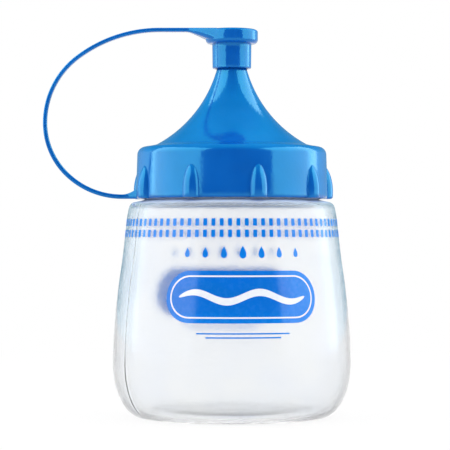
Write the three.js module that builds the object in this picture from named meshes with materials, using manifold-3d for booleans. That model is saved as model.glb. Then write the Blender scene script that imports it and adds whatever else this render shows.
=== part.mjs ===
import * as THREE from 'three';
import { mergeVertices } from 'three/addons/utils/BufferGeometryUtils.js';
import Module from 'manifold-3d';

// A squeeze bottle for sauce. A nozzle lid screws on its neck, and a tip cap on a strap closes the nozzle.
// Millimetres, +Z up. The origin is the middle of the base, on the surface that the bottle stands on.
// The strap lies in the XZ plane, on the -X side, and is drawn with the cap on the nozzle.

// Blown bottle: a round body that leans in from its belly to its shoulder, and a short wide neck.
const BOTTLE = {
  wall: 1.2,
  floor: 1.5,
  cornerInset: 10,
  bellyRadius: 40,
  bellyHeight: 18,
  sideBendHeight: 34,
  waistRadius: 36.8,
  waistHeight: 53,
  shoulderRadius: 35.35,
  shoulderHeight: 66.6,
  bendRadius: 35,
  bendHeight: 69.2,
  edgeRadius: 34.85,
  edgeHeight: 69.2,
  edgeCorner: 2.35,
  edgeStart: 30,
  edgeEnd: 80,
  shoulderTop: 72.3,
  beadRadius: 29.2,
  beadBottom: 73.05,
  beadTop: 75.2,
  neckRadius: 28.2,
  neckBore: 26.6,
  rimHeight: 88,
};

// Nozzle lid: a skirt with grip ribs, a nearly flat top and a cone that sweeps up to the nozzle's tip.
const LID = {
  skirtBottom: 73.4,
  skirtLip: 0.8,
  skirtRadius: 32.3,
  skirtTopRadius: 31.85,
  topHeight: 90.9,
  topCorner: 2.7,
  bore: 30.3,
  underside: 89.4,
  wall: 1.5,
  coneFoot: 91.6,
  coneEnd: 117.2,
  sweepRadius: 41.5,
  sweepCentreRadius: 45.05,
  sweepCentreHeight: 128.22,
  tipRadius: 3.2,
  tipHeight: 123.6,
  orificeRadius: 1.9,
  throatEnd: 116.3,
  orificeStart: 121.5,
};

const RIB = {
  count: 9,
  firstDegrees: 15.5 - 90,
  width: 6,
  sunkRadius: 31.65,
  footRadius: 34.4,
  topRadius: 31.95,
  archFoot: 76,
  archTop: 84.2,
  lean: 1.5,
  steps: 6,
};

// One right-hand thread, cut once on the neck and once, half a pitch higher, inside the skirt.
const THREAD = {
  pitch: 4.2,
  turns: 1.5,
  start: 77,
  rootWidth: 2.2,
  crestWidth: 1,
  neckDepth: 1.7,
  lidDepth: 1.6,
};

const SEAL = { innerRadius: 26.9, outerRadius: 29.8, bottom: 88.3, top: 89.1 };

// Tip cap: a round socket that slips over the nozzle, under a wider disc.
const CAP = {
  mouth: 117.3,
  mouthRadius: 6.5,
  mouthEdge: 0.4,
  barrelRadius: 6.6,
  discRadius: 8.77,
  discBottom: 125.7,
  discTop: 130.55,
  lowerEdge: 1,
  upperEdge: 0.8,
  mouthBore: 5.55,
  endBore: 4.9,
  socketTop: 128.6,
};

// Strap: a thin band on four arcs that turn it by 180 degrees, from the skirt's foot to the cap.
// Its root widens into the skirt. At its other end a gusset widens to the disc's sides and deepens to the
// disc's foot.
const STRAP = {
  rootThickness: 1.5,
  taperStart: 22,
  taperEnd: 42,
  thickness: 1.3,
  width: 3,
  startX: -37,
  arcs: [
    { radius: 26.8, degrees: 44 },
    { radius: 24.2, degrees: 45.5 },
    { radius: 27.6, degrees: 53.5 },
    { radius: 46, degrees: 37 },
  ],
  step: 2.2,
  bends: 3,
  slit: 1.1,
  rootEnd: -31,
  rootRise: 2.8,
  rootFlare: 2.2,
  gussetStart: -14.4,
  gussetEnd: -5,
  gussetRise: 4,
  gussetFlare: 5.6,
  gussetDrop: 0.55,
};

const SEGMENTS = 48;
const EMBED = 0.6;
const DEGREE = Math.PI / 180;

const wasm = await Module();
wasm.setup();

// A closed geometry as a solid for joining and cutting. Triangles that collapse on the axis are dropped.
function solidOf(geometry) {
  geometry.deleteAttribute('normal');
  geometry.deleteAttribute('uv');
  const merged = mergeVertices(geometry, 1e-5);
  const index = merged.index.array;
  const kept = [];
  for (let i = 0; i < index.length; i += 3) {
    const [a, b, c] = index.subarray(i, i + 3);
    if (a !== b && b !== c && c !== a) kept.push(a, b, c);
  }
  const vertProperties = new Float32Array(merged.attributes.position.array);
  return new wasm.Manifold(new wasm.Mesh({ numProp: 3, vertProperties, triVerts: new Uint32Array(kept) }));
}

function geometryOf(solid) {
  const { vertProperties, triVerts } = solid.getMesh();
  const geometry = new THREE.BufferGeometry();
  geometry.setAttribute('position', new THREE.BufferAttribute(vertProperties, 3));
  geometry.setIndex(new THREE.BufferAttribute(triVerts, 1));
  return geometry;
}

function join(solids) {
  return solids.reduce((whole, solid) => whole.add(solid));
}

// Turns an outline of [radius, height] pairs, given up the outside and down the inside, about +Z.
function turned(outline) {
  const points = outline.map(([radius, height]) => new THREE.Vector2(radius, height));
  return solidOf(new THREE.LatheGeometry(points, SEGMENTS).rotateX(Math.PI / 2));
}

// Points on an ellipse in the [radius, height] plane.
function arc([centreRadius, centreHeight], [radiusAcross, radiusUp], fromDegrees, toDegrees, steps) {
  const points = [];
  for (let i = 0; i <= steps; i++) {
    const angle = (fromDegrees + ((toDegrees - fromDegrees) * i) / steps) * DEGREE;
    points.push([centreRadius + radiusAcross * Math.cos(angle), centreHeight + radiusUp * Math.sin(angle)]);
  }
  return points;
}

// A closed solid through rings of Vector3 that all have the same number of points, with flat ends.
function loft(rings) {
  const size = rings[0].length;
  const index = [];
  for (let ring = 0; ring + 1 < rings.length; ring++) {
    for (let side = 0; side < size; side++) {
      const a = ring * size + side;
      const b = ring * size + ((side + 1) % size);
      index.push(a, b, b + size, a, b + size, a + size);
    }
  }
  const last = (rings.length - 1) * size;
  for (let side = 1; side + 1 < size; side++) {
    index.push(0, side + 1, side);
    index.push(last, last + side, last + side + 1);
  }
  const geometry = new THREE.BufferGeometry().setFromPoints(rings.flat());
  geometry.setIndex(index);
  return solidOf(geometry);
}

function around(radius, angle, height) {
  return new THREE.Vector3(radius * Math.cos(angle), radius * Math.sin(angle), height);
}

// The body's outline from the base to the shoulder's top, moved in from the outside by inset.
function bodyOutline(inset, floor) {
  const b = BOTTLE;
  const side = new THREE.QuadraticBezierCurve(
    new THREE.Vector2(b.bellyRadius - inset, b.bellyHeight),
    new THREE.Vector2(b.bellyRadius - inset, b.sideBendHeight),
    new THREE.Vector2(b.waistRadius - inset, b.waistHeight),
  );
  const corner = [b.bellyRadius - b.cornerInset, b.bellyHeight];
  const edgeCentre = [b.edgeRadius - b.edgeCorner, b.edgeHeight];
  const edgeSize = [b.edgeCorner - inset, b.shoulderTop - b.edgeHeight - inset];
  const edge = arc(edgeCentre, edgeSize, b.edgeStart, b.edgeEnd, 5);
  const shoulder = new THREE.QuadraticBezierCurve(
    new THREE.Vector2(b.shoulderRadius - inset, b.shoulderHeight),
    new THREE.Vector2(b.bendRadius - inset, b.bendHeight),
    new THREE.Vector2(edge[0][0], edge[0][1]),
  );
  return [
    [0, floor],
    ...arc(corner, [b.cornerInset - inset, b.bellyHeight - floor], -90, 0, 7),
    ...side.getPoints(5).slice(1).map((p) => [p.x, p.y]),
    ...shoulder.getPoints(3).slice(0, -1).map((p) => [p.x, p.y]),
    ...edge,
  ];
}

// A ridge that winds up a round wall. Its height fades in and out over its first and last sixth of a turn.
function threadRidge(wallRadius, depth, startHeight) {
  const steps = Math.round(THREAD.turns * SEGMENTS);
  const fade = SEGMENTS / 6;
  const inward = Math.sign(depth);
  const rings = [];
  for (let i = 0; i <= steps; i++) {
    const angle = (i / SEGMENTS) * 2 * Math.PI;
    const middle = startHeight + (i / SEGMENTS) * THREAD.pitch;
    const share = Math.max(0.1, Math.min(1, i / fade, (steps - i) / fade));
    const root = wallRadius - inward * EMBED;
    const crest = wallRadius + depth * share;
    const halfRoot = THREAD.rootWidth / 2;
    const halfCrest = THREAD.crestWidth / 2;
    const ring = [
      around(root, angle, middle - halfRoot),
      around(root, angle, middle + halfRoot),
      around(crest, angle, middle + halfCrest),
      around(crest, angle, middle - halfCrest),
    ];
    rings.push(inward > 0 ? ring : ring.reverse());
  }
  return loft(rings);
}

function makeBottle() {
  const b = BOTTLE;
  const bevel = 0.3;
  const outline = [
    ...bodyOutline(0, 0),
    [b.beadRadius, b.beadBottom],
    [b.beadRadius, b.beadTop - bevel],
    [b.neckRadius, b.beadTop + bevel],
    [b.neckRadius, b.rimHeight - bevel],
    [b.neckRadius - bevel, b.rimHeight],
    [b.neckBore + bevel, b.rimHeight],
    [b.neckBore, b.rimHeight - bevel],
    [b.neckBore, b.shoulderTop - b.wall],
    ...bodyOutline(b.wall, b.floor).reverse(),
  ];
  return join([turned(outline), threadRidge(b.neckRadius, THREAD.neckDepth, THREAD.start)]);
}

function makeSealRing() {
  const { innerRadius, outerRadius, bottom, top } = SEAL;
  return turned([
    [innerRadius, bottom],
    [outerRadius, bottom],
    [outerRadius, top],
    [innerRadius, top],
    [innerRadius, bottom],
  ]);
}

// The angle, in degrees, at which the sweep of a given radius reaches a height.
function sweepAngle(radius, height) {
  return 180 + Math.asin((LID.sweepCentreHeight - height) / radius) / DEGREE;
}

function lidShell() {
  const l = LID;
  const bevel = 0.4;
  const lip = [l.skirtRadius - l.skirtLip, l.skirtBottom + l.skirtLip];
  const centre = [l.sweepCentreRadius, l.sweepCentreHeight];
  const inner = l.sweepRadius + l.wall;
  const corner = [l.skirtTopRadius - l.topCorner, l.topHeight - l.topCorner];
  return turned([
    [l.bore, l.skirtBottom],
    ...arc(lip, [l.skirtLip, l.skirtLip], -90, 0, 3),
    ...arc(corner, [l.topCorner, l.topCorner], 0, 90, 4),
    ...arc(centre, [l.sweepRadius, l.sweepRadius], sweepAngle(l.sweepRadius, l.coneFoot),
      sweepAngle(l.sweepRadius, l.coneEnd), 12),
    [l.tipRadius, l.tipHeight - bevel],
    [l.tipRadius - bevel, l.tipHeight],
    [l.orificeRadius, l.tipHeight],
    [l.orificeRadius, l.orificeStart],
    ...arc(centre, [inner, inner], sweepAngle(inner, l.throatEnd), sweepAngle(inner, l.underside), 9),
    [l.bore, l.underside],
    [l.bore, l.skirtBottom],
  ]);
}

// A grip rib: half an ellipse in section. It leans back to the skirt as it narrows to an arch at its top.
function gripRib(degrees) {
  const turn = new THREE.Matrix4().makeRotationZ(degrees * DEGREE);
  const root = LID.bore + EMBED;
  const section = (height, share, cut) => {
    const half = (RIB.width / 2) * share;
    const crest = THREE.MathUtils.lerp(RIB.topRadius, RIB.footRadius, share ** RIB.lean) - cut;
    const bulge = arc([RIB.sunkRadius, 0], [crest - RIB.sunkRadius, half], -90, 90, 8);
    const outline = [[root, half], [root, -half], ...bulge];
    return outline.map(([outward, across]) => new THREE.Vector3(outward, across, height).applyMatrix4(turn));
  };
  const rings = [section(LID.skirtBottom, 1, LID.skirtLip), section(LID.skirtBottom + LID.skirtLip, 1, 0)];
  for (let i = 0; i <= RIB.steps; i++) {
    const angle = (i / RIB.steps) * 90 * DEGREE;
    const height = THREE.MathUtils.lerp(RIB.archFoot, RIB.archTop, Math.sin(angle));
    rings.push(section(height, Math.max(0.02, Math.cos(angle)), 0));
  }
  return loft(rings);
}

const strapLength = STRAP.arcs.reduce((sum, { radius, degrees }) => sum + radius * degrees * DEGREE, 0);
const strapFoot = LID.skirtBottom + STRAP.rootThickness / 2;

// Place and heading on the strap's middle line, by the way travelled from the start of its first arc.
// Before the arcs it runs level away from the skirt, and after them level towards the cap.
function strapAt(way) {
  let x = STRAP.startX;
  let z = strapFoot;
  let heading = Math.PI;
  let left = way;
  if (left <= 0) return { x: x - left, z, heading };
  for (const { radius, degrees } of STRAP.arcs) {
    const step = Math.min(left, radius * degrees * DEGREE);
    const next = heading - step / radius;
    x += radius * (Math.sin(heading) - Math.sin(next));
    z += radius * (Math.cos(next) - Math.cos(heading));
    heading = next;
    left -= step;
    if (left <= 0) return { x, z, heading };
  }
  return { x: x + left, z, heading };
}

// The strap's thickness eases from its root's to that of the rest along its lower run.
function thicknessAt(way) {
  const share = THREE.MathUtils.smoothstep(way, STRAP.taperStart, STRAP.taperEnd);
  return THREE.MathUtils.lerp(STRAP.rootThickness, STRAP.thickness, share);
}

// A stretch of the strap. At a place x, rise thickens it on the inner side of the loop, drop thins it on the
// outer side, and flare widens each edge.
function strapStretch(from, to, { rise = () => 0, drop = () => 0, flare = () => 0 } = {}) {
  const steps = Math.ceil((to - from) / STRAP.step);
  const rings = [];
  for (let i = 0; i <= steps; i++) {
    const way = from + ((to - from) * i) / steps;
    const { x, z, heading } = strapAt(way);
    const inward = new THREE.Vector3(Math.sin(heading), 0, -Math.cos(heading));
    const middle = new THREE.Vector3(x, 0, z);
    const half = thicknessAt(way) / 2;
    const outer = middle.clone().addScaledVector(inward, drop(x) - half);
    const inner = middle.clone().addScaledVector(inward, half + rise(x));
    const across = new THREE.Vector3(0, STRAP.width / 2 + flare(x), 0);
    rings.push([
      outer.clone().sub(across),
      inner.clone().sub(across),
      inner.clone().add(across),
      outer.clone().add(across),
    ]);
  }
  return loft(rings);
}

// The strap bends at the middle of each of its equal zones. A link runs from one bend to the next.
const zone = strapLength / STRAP.bends;
const bendAt = (number) => (number - 0.5) * zone;

function strapLink(number) {
  return strapStretch(bendAt(number) + STRAP.slit / 2, bendAt(number + 1) - STRAP.slit / 2);
}

function strapRoot() {
  const share = (x) => THREE.MathUtils.clamp((x - STRAP.startX) / (STRAP.rootEnd - STRAP.startX), 0, 1);
  const rise = (x) => STRAP.rootRise * share(x) ** 2;
  const flare = (x) => STRAP.rootFlare * share(x) ** 2;
  return strapStretch(STRAP.startX - STRAP.rootEnd, bendAt(1) - STRAP.slit / 2, { rise, flare });
}

function strapTail() {
  const { gussetStart, gussetEnd } = STRAP;
  const share = (x) => THREE.MathUtils.clamp((x - gussetStart) / (gussetEnd - gussetStart), 0, 1);
  const rise = (x) => STRAP.gussetRise * share(x);
  const drop = (x) => STRAP.gussetDrop * share(x);
  const flare = (x) => STRAP.gussetFlare * share(x);
  const wayAt = (x) => strapLength + x - strapAt(strapLength).x;
  return join([
    strapStretch(bendAt(STRAP.bends) + STRAP.slit / 2, wayAt(gussetStart)),
    strapStretch(wayAt(gussetStart - EMBED), wayAt(gussetEnd), { rise, drop, flare }),
  ]);
}

function makeLid() {
  const ribs = [];
  for (let i = 0; i < RIB.count; i++) ribs.push(gripRib(RIB.firstDegrees + (360 / RIB.count) * i));
  const thread = threadRidge(LID.bore, -THREAD.lidDepth, THREAD.start + THREAD.pitch / 2);
  return join([lidShell(), ...ribs, thread, strapRoot()]);
}

function makeTipCap() {
  const c = CAP;
  const roundEdge = (radius, height, size, fromDegrees) =>
    arc([radius - size, height], [size, size], fromDegrees, fromDegrees + 90, 3);
  const shell = turned([
    [c.mouthBore, c.mouth],
    ...roundEdge(c.mouthRadius, c.mouth + c.mouthEdge, c.mouthEdge, -90),
    [c.barrelRadius, c.discBottom],
    ...roundEdge(c.discRadius, c.discBottom + c.lowerEdge, c.lowerEdge, -90),
    ...roundEdge(c.discRadius, c.discTop - c.upperEdge, c.upperEdge, 0),
    [0, c.discTop],
    [0, c.socketTop],
    [c.endBore, c.socketTop],
    [c.mouthBore, c.mouth],
  ]);
  return join([shell, strapTail()]);
}

const FROSTED = { color: 0xe6eaf4, roughness: 0.35, metalness: 0, transparent: true, opacity: 0.6 };
const BLUE = { color: 0x1f86dc, roughness: 0.25, metalness: 0 };
const SOFT_WHITE = { color: 0xf1f1ec, roughness: 0.6, metalness: 0 };

function piece(name, solid, finish) {
  const mesh = new THREE.Mesh(geometryOf(solid), new THREE.MeshStandardMaterial(finish));
  mesh.name = name;
  return mesh;
}

const sauceBottle = new THREE.Group();
sauceBottle.add(piece('bottle', makeBottle(), FROSTED));
sauceBottle.add(piece('seal_ring', makeSealRing(), SOFT_WHITE));
sauceBottle.add(piece('nozzle_lid', makeLid(), BLUE));
for (let number = 1; number < STRAP.bends; number++) {
  sauceBottle.add(piece(`strap_link_${number}`, strapLink(number), BLUE));
}
sauceBottle.add(piece('tip_cap', makeTipCap(), BLUE));

export default sauceBottle;
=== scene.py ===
"""Dressed model of a squeeze bottle for sauce, with its nozzle lid, strap and tip cap.

The sizes in the classes are millimetres, and the meshes are metres. +Z runs up the bottle's axis from the
surface that it stands on, the strap's loop stands out towards -X, and the printed front faces -Y.
"""

from __future__ import annotations

import logging
import math
from collections.abc import Callable, Sequence
from dataclasses import dataclass, field
from enum import Enum

import bmesh
import bpy
import numpy as np
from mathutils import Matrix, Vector


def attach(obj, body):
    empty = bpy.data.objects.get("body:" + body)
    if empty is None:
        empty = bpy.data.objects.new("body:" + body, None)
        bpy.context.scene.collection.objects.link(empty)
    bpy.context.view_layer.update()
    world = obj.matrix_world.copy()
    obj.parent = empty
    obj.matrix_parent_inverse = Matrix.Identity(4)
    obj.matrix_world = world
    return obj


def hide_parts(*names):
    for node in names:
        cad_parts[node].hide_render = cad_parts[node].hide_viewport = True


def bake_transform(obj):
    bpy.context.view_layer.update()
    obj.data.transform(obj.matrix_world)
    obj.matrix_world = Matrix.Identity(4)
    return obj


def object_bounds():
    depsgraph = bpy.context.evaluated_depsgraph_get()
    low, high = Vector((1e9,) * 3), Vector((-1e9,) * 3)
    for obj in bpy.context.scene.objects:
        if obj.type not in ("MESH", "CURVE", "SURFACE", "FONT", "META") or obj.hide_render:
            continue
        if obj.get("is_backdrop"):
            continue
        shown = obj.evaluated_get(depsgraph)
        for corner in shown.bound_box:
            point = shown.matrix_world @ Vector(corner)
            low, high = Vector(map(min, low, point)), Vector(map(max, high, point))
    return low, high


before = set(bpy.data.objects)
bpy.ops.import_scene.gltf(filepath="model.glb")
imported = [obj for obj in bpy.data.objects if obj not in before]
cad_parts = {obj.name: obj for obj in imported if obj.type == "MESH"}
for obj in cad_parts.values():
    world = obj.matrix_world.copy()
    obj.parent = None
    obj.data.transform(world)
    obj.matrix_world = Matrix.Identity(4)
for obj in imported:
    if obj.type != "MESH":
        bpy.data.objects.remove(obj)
CAD_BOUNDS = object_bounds()

MM = 0.001
# Points closer than DOUBLED are one point, and a radius under ON_AXIS lies on the axis.
DOUBLED = 0.0005
ON_AXIS = 1e-6
WHITE = (1.0, 1.0, 1.0, 1.0)
# Most of a noise texture's values lie in this span.
NOISE_SPAN = (0.3, 0.7)
# A Mix node has sockets for each kind of data, and these are its colour ones.
MIX_FIRST = 6
MIX_SECOND = 7
MIX_RESULT = 2
LOG = logging.getLogger("squeeze_bottle")

Profile = list[tuple[float, float]]
SocketValue = float | int | bool | tuple | bpy.types.NodeSocket


class Body(str, Enum):
    """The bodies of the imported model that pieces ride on."""

    BOTTLE = "bottle"
    SEAL = "seal_ring"
    LID = "nozzle_lid"
    LINK_1 = "strap_link_1"
    LINK_2 = "strap_link_2"
    CAP = "tip_cap"


class Slot(str, Enum):
    """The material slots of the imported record."""

    FROSTED = "frosted_plastic"
    FOAM = "seal_foam"
    BLUE = "blue_plastic"


class Side(Enum):
    """The two printed sides of the bottle, with the way each one faces in degrees from +X."""

    FRONT = -90.0
    BACK = 90.0


def linear(colour: str) -> tuple[float, float, float, float]:
    """Turns an sRGB hex colour into the linear values that Blender's sockets take.

    Args:
        colour: Six hex digits after a #.

    Returns:
        Red, green, blue and an alpha of one.
    """
    values = []
    for start in (1, 3, 5):
        share = int(colour[start:start + 2], 16) / 255
        values.append(share / 12.92 if share <= 0.04045 else ((share + 0.055) / 1.055) ** 2.4)
    return (values[0], values[1], values[2], 1.0)


def add_node(
    tree: bpy.types.NodeTree,
    kind: str,
    inputs: dict[str | int, SocketValue] | None = None,
    **settings: object,
) -> bpy.types.Node:
    """Adds one node to a tree, with its settings, its values and the links into it.

    Args:
        tree: The shader or geometry tree.
        kind: The node's type name.
        inputs: A value, or the socket to link from, for each input by name or place.
        **settings: Attributes of the node.

    Returns:
        The new node.
    """
    node = tree.nodes.new(kind)
    for key, value in settings.items():
        setattr(node, key, value)
    for key, value in (inputs or {}).items():
        if isinstance(value, bpy.types.NodeSocket):
            tree.links.new(value, node.inputs[key])
        else:
            node.inputs[key].default_value = value
    return node


def new_material(name: str) -> tuple[bpy.types.Material, bpy.types.NodeTree]:
    """Makes an empty node material.

    Args:
        name: The material's name.

    Returns:
        The material and its tree.
    """
    material = bpy.data.materials.new(name)
    material.use_nodes = True
    material.node_tree.nodes.clear()
    return material, material.node_tree


def noise(tree: bpy.types.NodeTree, grain_mm: float, detail: float = 2.0) -> bpy.types.NodeSocket:
    """Adds noise on Object coordinates with grains of a real size.

    Args:
        tree: The material's tree.
        grain_mm: The size of a grain.
        detail: How many finer layers it has.

    Returns:
        The noise value's socket.
    """
    place = add_node(tree, "ShaderNodeTexCoord").outputs["Object"]
    scale = 1.0 / (grain_mm * MM)
    texture = add_node(tree, "ShaderNodeTexNoise", {"Vector": place, "Scale": scale, "Detail": detail})
    return texture.outputs["Fac"]


def patches(
    tree: bpy.types.NodeTree, grain_mm: float, low: float, high: float,
    span: tuple[float, float] = NOISE_SPAN, detail: float = 2.0,
) -> bpy.types.NodeSocket:
    """Adds soft patches of a real size, as a value that runs between two others.

    Args:
        tree: The material's tree.
        grain_mm: The size of a patch.
        low: The value in the noise's valleys.
        high: The value on its hills.
        span: The noise values that give low and high.
        detail: How many finer layers the noise has.

    Returns:
        The value's socket.
    """
    stretched = add_node(tree, "ShaderNodeMapRange", {
        "Value": noise(tree, grain_mm, detail), "From Min": span[0], "From Max": span[1],
        "To Min": low, "To Max": high,
    })
    return stretched.outputs["Result"]


def mottled(
    tree: bpy.types.NodeTree, grain_mm: float, first: str, second: str,
    span: tuple[float, float] = NOISE_SPAN, detail: float = 2.0,
) -> bpy.types.NodeSocket:
    """Mixes two colours in soft patches of a real size.

    Args:
        tree: The material's tree.
        grain_mm: The size of a patch.
        first: The sRGB colour in the noise's valleys.
        second: The sRGB colour on its hills.
        span: The noise values that give the first and the second colour.
        detail: How many finer layers the noise has.

    Returns:
        The mixed colour's socket.
    """
    mix = add_node(tree, "ShaderNodeMix", {
        0: patches(tree, grain_mm, 0.0, 1.0, span, detail),
        MIX_FIRST: linear(first), MIX_SECOND: linear(second),
    }, data_type="RGBA")
    return mix.outputs[MIX_RESULT]


def relief(
    tree: bpy.types.NodeTree, grain_mm: float, strength: float, detail: float = 1.0,
    depth_mm: float = 1.0, under: bpy.types.NodeSocket | None = None,
) -> bpy.types.NodeSocket:
    """Adds small hills and hollows of a real size to the shading.

    Args:
        tree: The material's tree.
        grain_mm: The size of a hill.
        strength: How much of the depth shows.
        detail: How many finer layers the noise has.
        depth_mm: The hills' height.
        under: The normal of a coarser relief that these hills lie on, where there is one.

    Returns:
        The normal's socket.
    """
    inputs = {"Height": noise(tree, grain_mm, detail), "Strength": strength, "Distance": depth_mm * MM}
    if under is not None:
        inputs["Normal"] = under
    return add_node(tree, "ShaderNodeBump", inputs).outputs["Normal"]


@dataclass(frozen=True)
class MouldedBlue:
    """Polypropylene, injection moulded in a polished mould: glossy, with a faint orange peel."""

    name: str = "moulded_blue_polypropylene"
    deep: str = "#0552AD"
    light: str = "#0A5EBA"
    gloss_tint: str = "#78FFF8"
    specular_level: float = 1.0
    ior: float = 1.49
    smooth: float = 0.10
    dull: float = 0.17
    cloud_mm: float = 14.0
    gloss_patches: float = 3.0
    peel_mm: float = 1.1
    peel_strength: float = 0.035
    sink_mm: float = 9.0
    sink_strength: float = 0.02

    def material(self) -> bpy.types.Material:
        """Builds the material.

        Returns:
            A glossy blue whose colour and gloss change a little where the melt flowed.
        """
        material, tree = new_material(self.name)
        sink = relief(tree, self.sink_mm, self.sink_strength, detail=0.0)
        shader = add_node(tree, "ShaderNodeBsdfPrincipled", {
            "Base Color": mottled(tree, self.cloud_mm, self.deep, self.light),
            "Roughness": patches(tree, self.cloud_mm / self.gloss_patches, self.smooth, self.dull),
            "Normal": relief(tree, self.peel_mm, self.peel_strength, under=sink),
            "IOR": self.ior, "Specular IOR Level": self.specular_level,
            "Specular Tint": linear(self.gloss_tint),
        })
        add_node(tree, "ShaderNodeOutputMaterial", {"Surface": shader.outputs["BSDF"]})
        return material


@dataclass(frozen=True)
class BlownFrosted:
    """Polypropylene, blown thin in a sandblasted mould: milky, see-through and satin.

    The blasted grain is finer than 0.1 mm on the real wall. It is drawn coarser here so that it shows.
    """

    name: str = "blown_frosted_polypropylene"
    milk: str = "#FEFFFF"
    dense: str = "#FAFCFF"
    # Painted reflection: the neck's pale blue stands in for the lid's blue light, reflected in the neck and
    # seen through it.
    neck: str = "#D4E6FF"
    gloss_tint: str = "#8C8C8C"
    clear: float = 0.94
    neck_clear: float = 0.15
    shoulder_mm: float = 71.0
    neck_mm: float = 72.4
    ior: float = 1.49
    specular_level: float = 0.05
    smooth: float = 0.11
    dull: float = 0.15
    cloud_mm: float = 18.0
    mottle_mm: float = 2.2
    mottle_strength: float = 0.018
    grain_mm: float = 0.45
    grain_strength: float = 0.015

    def material(self) -> bpy.types.Material:
        """Builds the material.

        Returns:
            Clear plastic with some milk and the mottle of a blown wall. The neck is milkier, and its colour
            is painted a pale blue that stands in for the lid's blue light reflected in it and seen through
            it.
        """
        material, tree = new_material(self.name)
        place = add_node(tree, "ShaderNodeTexCoord").outputs["Object"]
        height = add_node(tree, "ShaderNodeSeparateXYZ", {"Vector": place}).outputs["Z"]
        # Towards the neck the same share blends the colour into the painted blue of the lid's reflected
        # light and makes the wall milkier.
        upwards = add_node(tree, "ShaderNodeMapRange", {
            "Value": height, "From Min": self.shoulder_mm * MM, "From Max": self.neck_mm * MM,
        }).outputs["Result"]
        colour = add_node(tree, "ShaderNodeMix", {
            0: upwards, MIX_FIRST: mottled(tree, self.cloud_mm, self.milk, self.dense),
            MIX_SECOND: linear(self.neck),
        }, data_type="RGBA")
        clear = add_node(tree, "ShaderNodeMapRange", {
            "Value": upwards, "To Min": self.clear, "To Max": self.neck_clear,
        })
        mottle = relief(tree, self.mottle_mm, self.mottle_strength)
        shader = add_node(tree, "ShaderNodeBsdfPrincipled", {
            "Base Color": colour.outputs[MIX_RESULT],
            "Roughness": patches(tree, self.mottle_mm, self.smooth, self.dull),
            "Normal": relief(tree, self.grain_mm, self.grain_strength, under=mottle),
            "IOR": self.ior, "Specular IOR Level": self.specular_level,
            "Transmission Weight": clear.outputs["Result"], "Specular Tint": linear(self.gloss_tint),
        })
        add_node(tree, "ShaderNodeOutputMaterial", {"Surface": shader.outputs["BSDF"]})
        return material


@dataclass(frozen=True)
class SealFoam:
    """Polyethylene foam, cut from sheet: soft, white and full of fine cells."""

    name: str = "cut_polyethylene_foam"
    colour: str = "#F0F0EB"
    # Painted shade: the darker colour in the cells' pits stands in for the shade that falls in them.
    pit_shade: str = "#D9D9D2"
    cell_mm: float = 0.5
    pit_shade_span: tuple[float, float] = (0.2, 0.8)
    pit_depth_mm: float = 0.2
    pit_strength: float = 0.25
    roughness: float = 0.7

    def material(self) -> bpy.types.Material:
        """Builds the material.

        Returns:
            Matt white with small cells in its bump, painted darker in their pits as shade.
        """
        material, tree = new_material(self.name)
        place = add_node(tree, "ShaderNodeTexCoord").outputs["Object"]
        scale = 1.0 / (self.cell_mm * MM)
        cells = add_node(tree, "ShaderNodeTexVoronoi", {"Vector": place, "Scale": scale})
        depth = cells.outputs["Distance"]
        # The cells' pits, where the bump is lowest, take the painted shade colour.
        shaded_pits = add_node(tree, "ShaderNodeMapRange", {
            "Value": depth, "From Min": self.pit_shade_span[0], "From Max": self.pit_shade_span[1],
        })
        colour = add_node(tree, "ShaderNodeMix", {
            0: shaded_pits.outputs["Result"], MIX_FIRST: linear(self.pit_shade), MIX_SECOND: linear(self.colour),
        }, data_type="RGBA")
        bump = add_node(tree, "ShaderNodeBump", {
            "Height": depth, "Strength": self.pit_strength, "Distance": self.pit_depth_mm * MM,
        })
        shader = add_node(tree, "ShaderNodeBsdfPrincipled", {
            "Base Color": colour.outputs[MIX_RESULT], "Roughness": self.roughness,
            "Normal": bump.outputs["Normal"],
        })
        add_node(tree, "ShaderNodeOutputMaterial", {"Surface": shader.outputs["BSDF"]})
        return material


@dataclass(frozen=True)
class ScreenInk:
    """Screen-printed ink, cured on plastic: even and slightly glossy, a little thin in places.

    The screen's mesh is about 0.1 mm on the real print. It is drawn coarser here so that it shows.
    """

    name: str
    full: str
    thin: str
    clear: float = 0.55
    ior: float = 1.04
    coat: float = 0.75
    coat_roughness: float = 0.14
    roughness: float = 0.32
    patch_mm: float = 1.6
    patch_detail: float = 3.0
    thin_span: tuple[float, float] = (0.45, 0.85)
    weave_mm: float = 0.3
    weave_depth_mm: float = 0.2
    weave_strength: float = 0.06

    def material(self) -> bpy.types.Material:
        """Builds the material.

        Returns:
            The ink's colour with faint thinner patches and the screen's fine mesh in its bump.
        """
        material, tree = new_material(self.name)
        colour = mottled(tree, self.patch_mm, self.full, self.thin, self.thin_span, self.patch_detail)
        shader = add_node(tree, "ShaderNodeBsdfPrincipled", {
            "Base Color": colour, "Roughness": self.roughness,
            "Normal": relief(tree, self.weave_mm, self.weave_strength, depth_mm=self.weave_depth_mm),
            "IOR": self.ior, "Transmission Weight": self.clear, "Coat Weight": self.coat,
            "Coat Roughness": self.coat_roughness,
        })
        add_node(tree, "ShaderNodeOutputMaterial", {"Surface": shader.outputs["BSDF"]})
        return material


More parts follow.
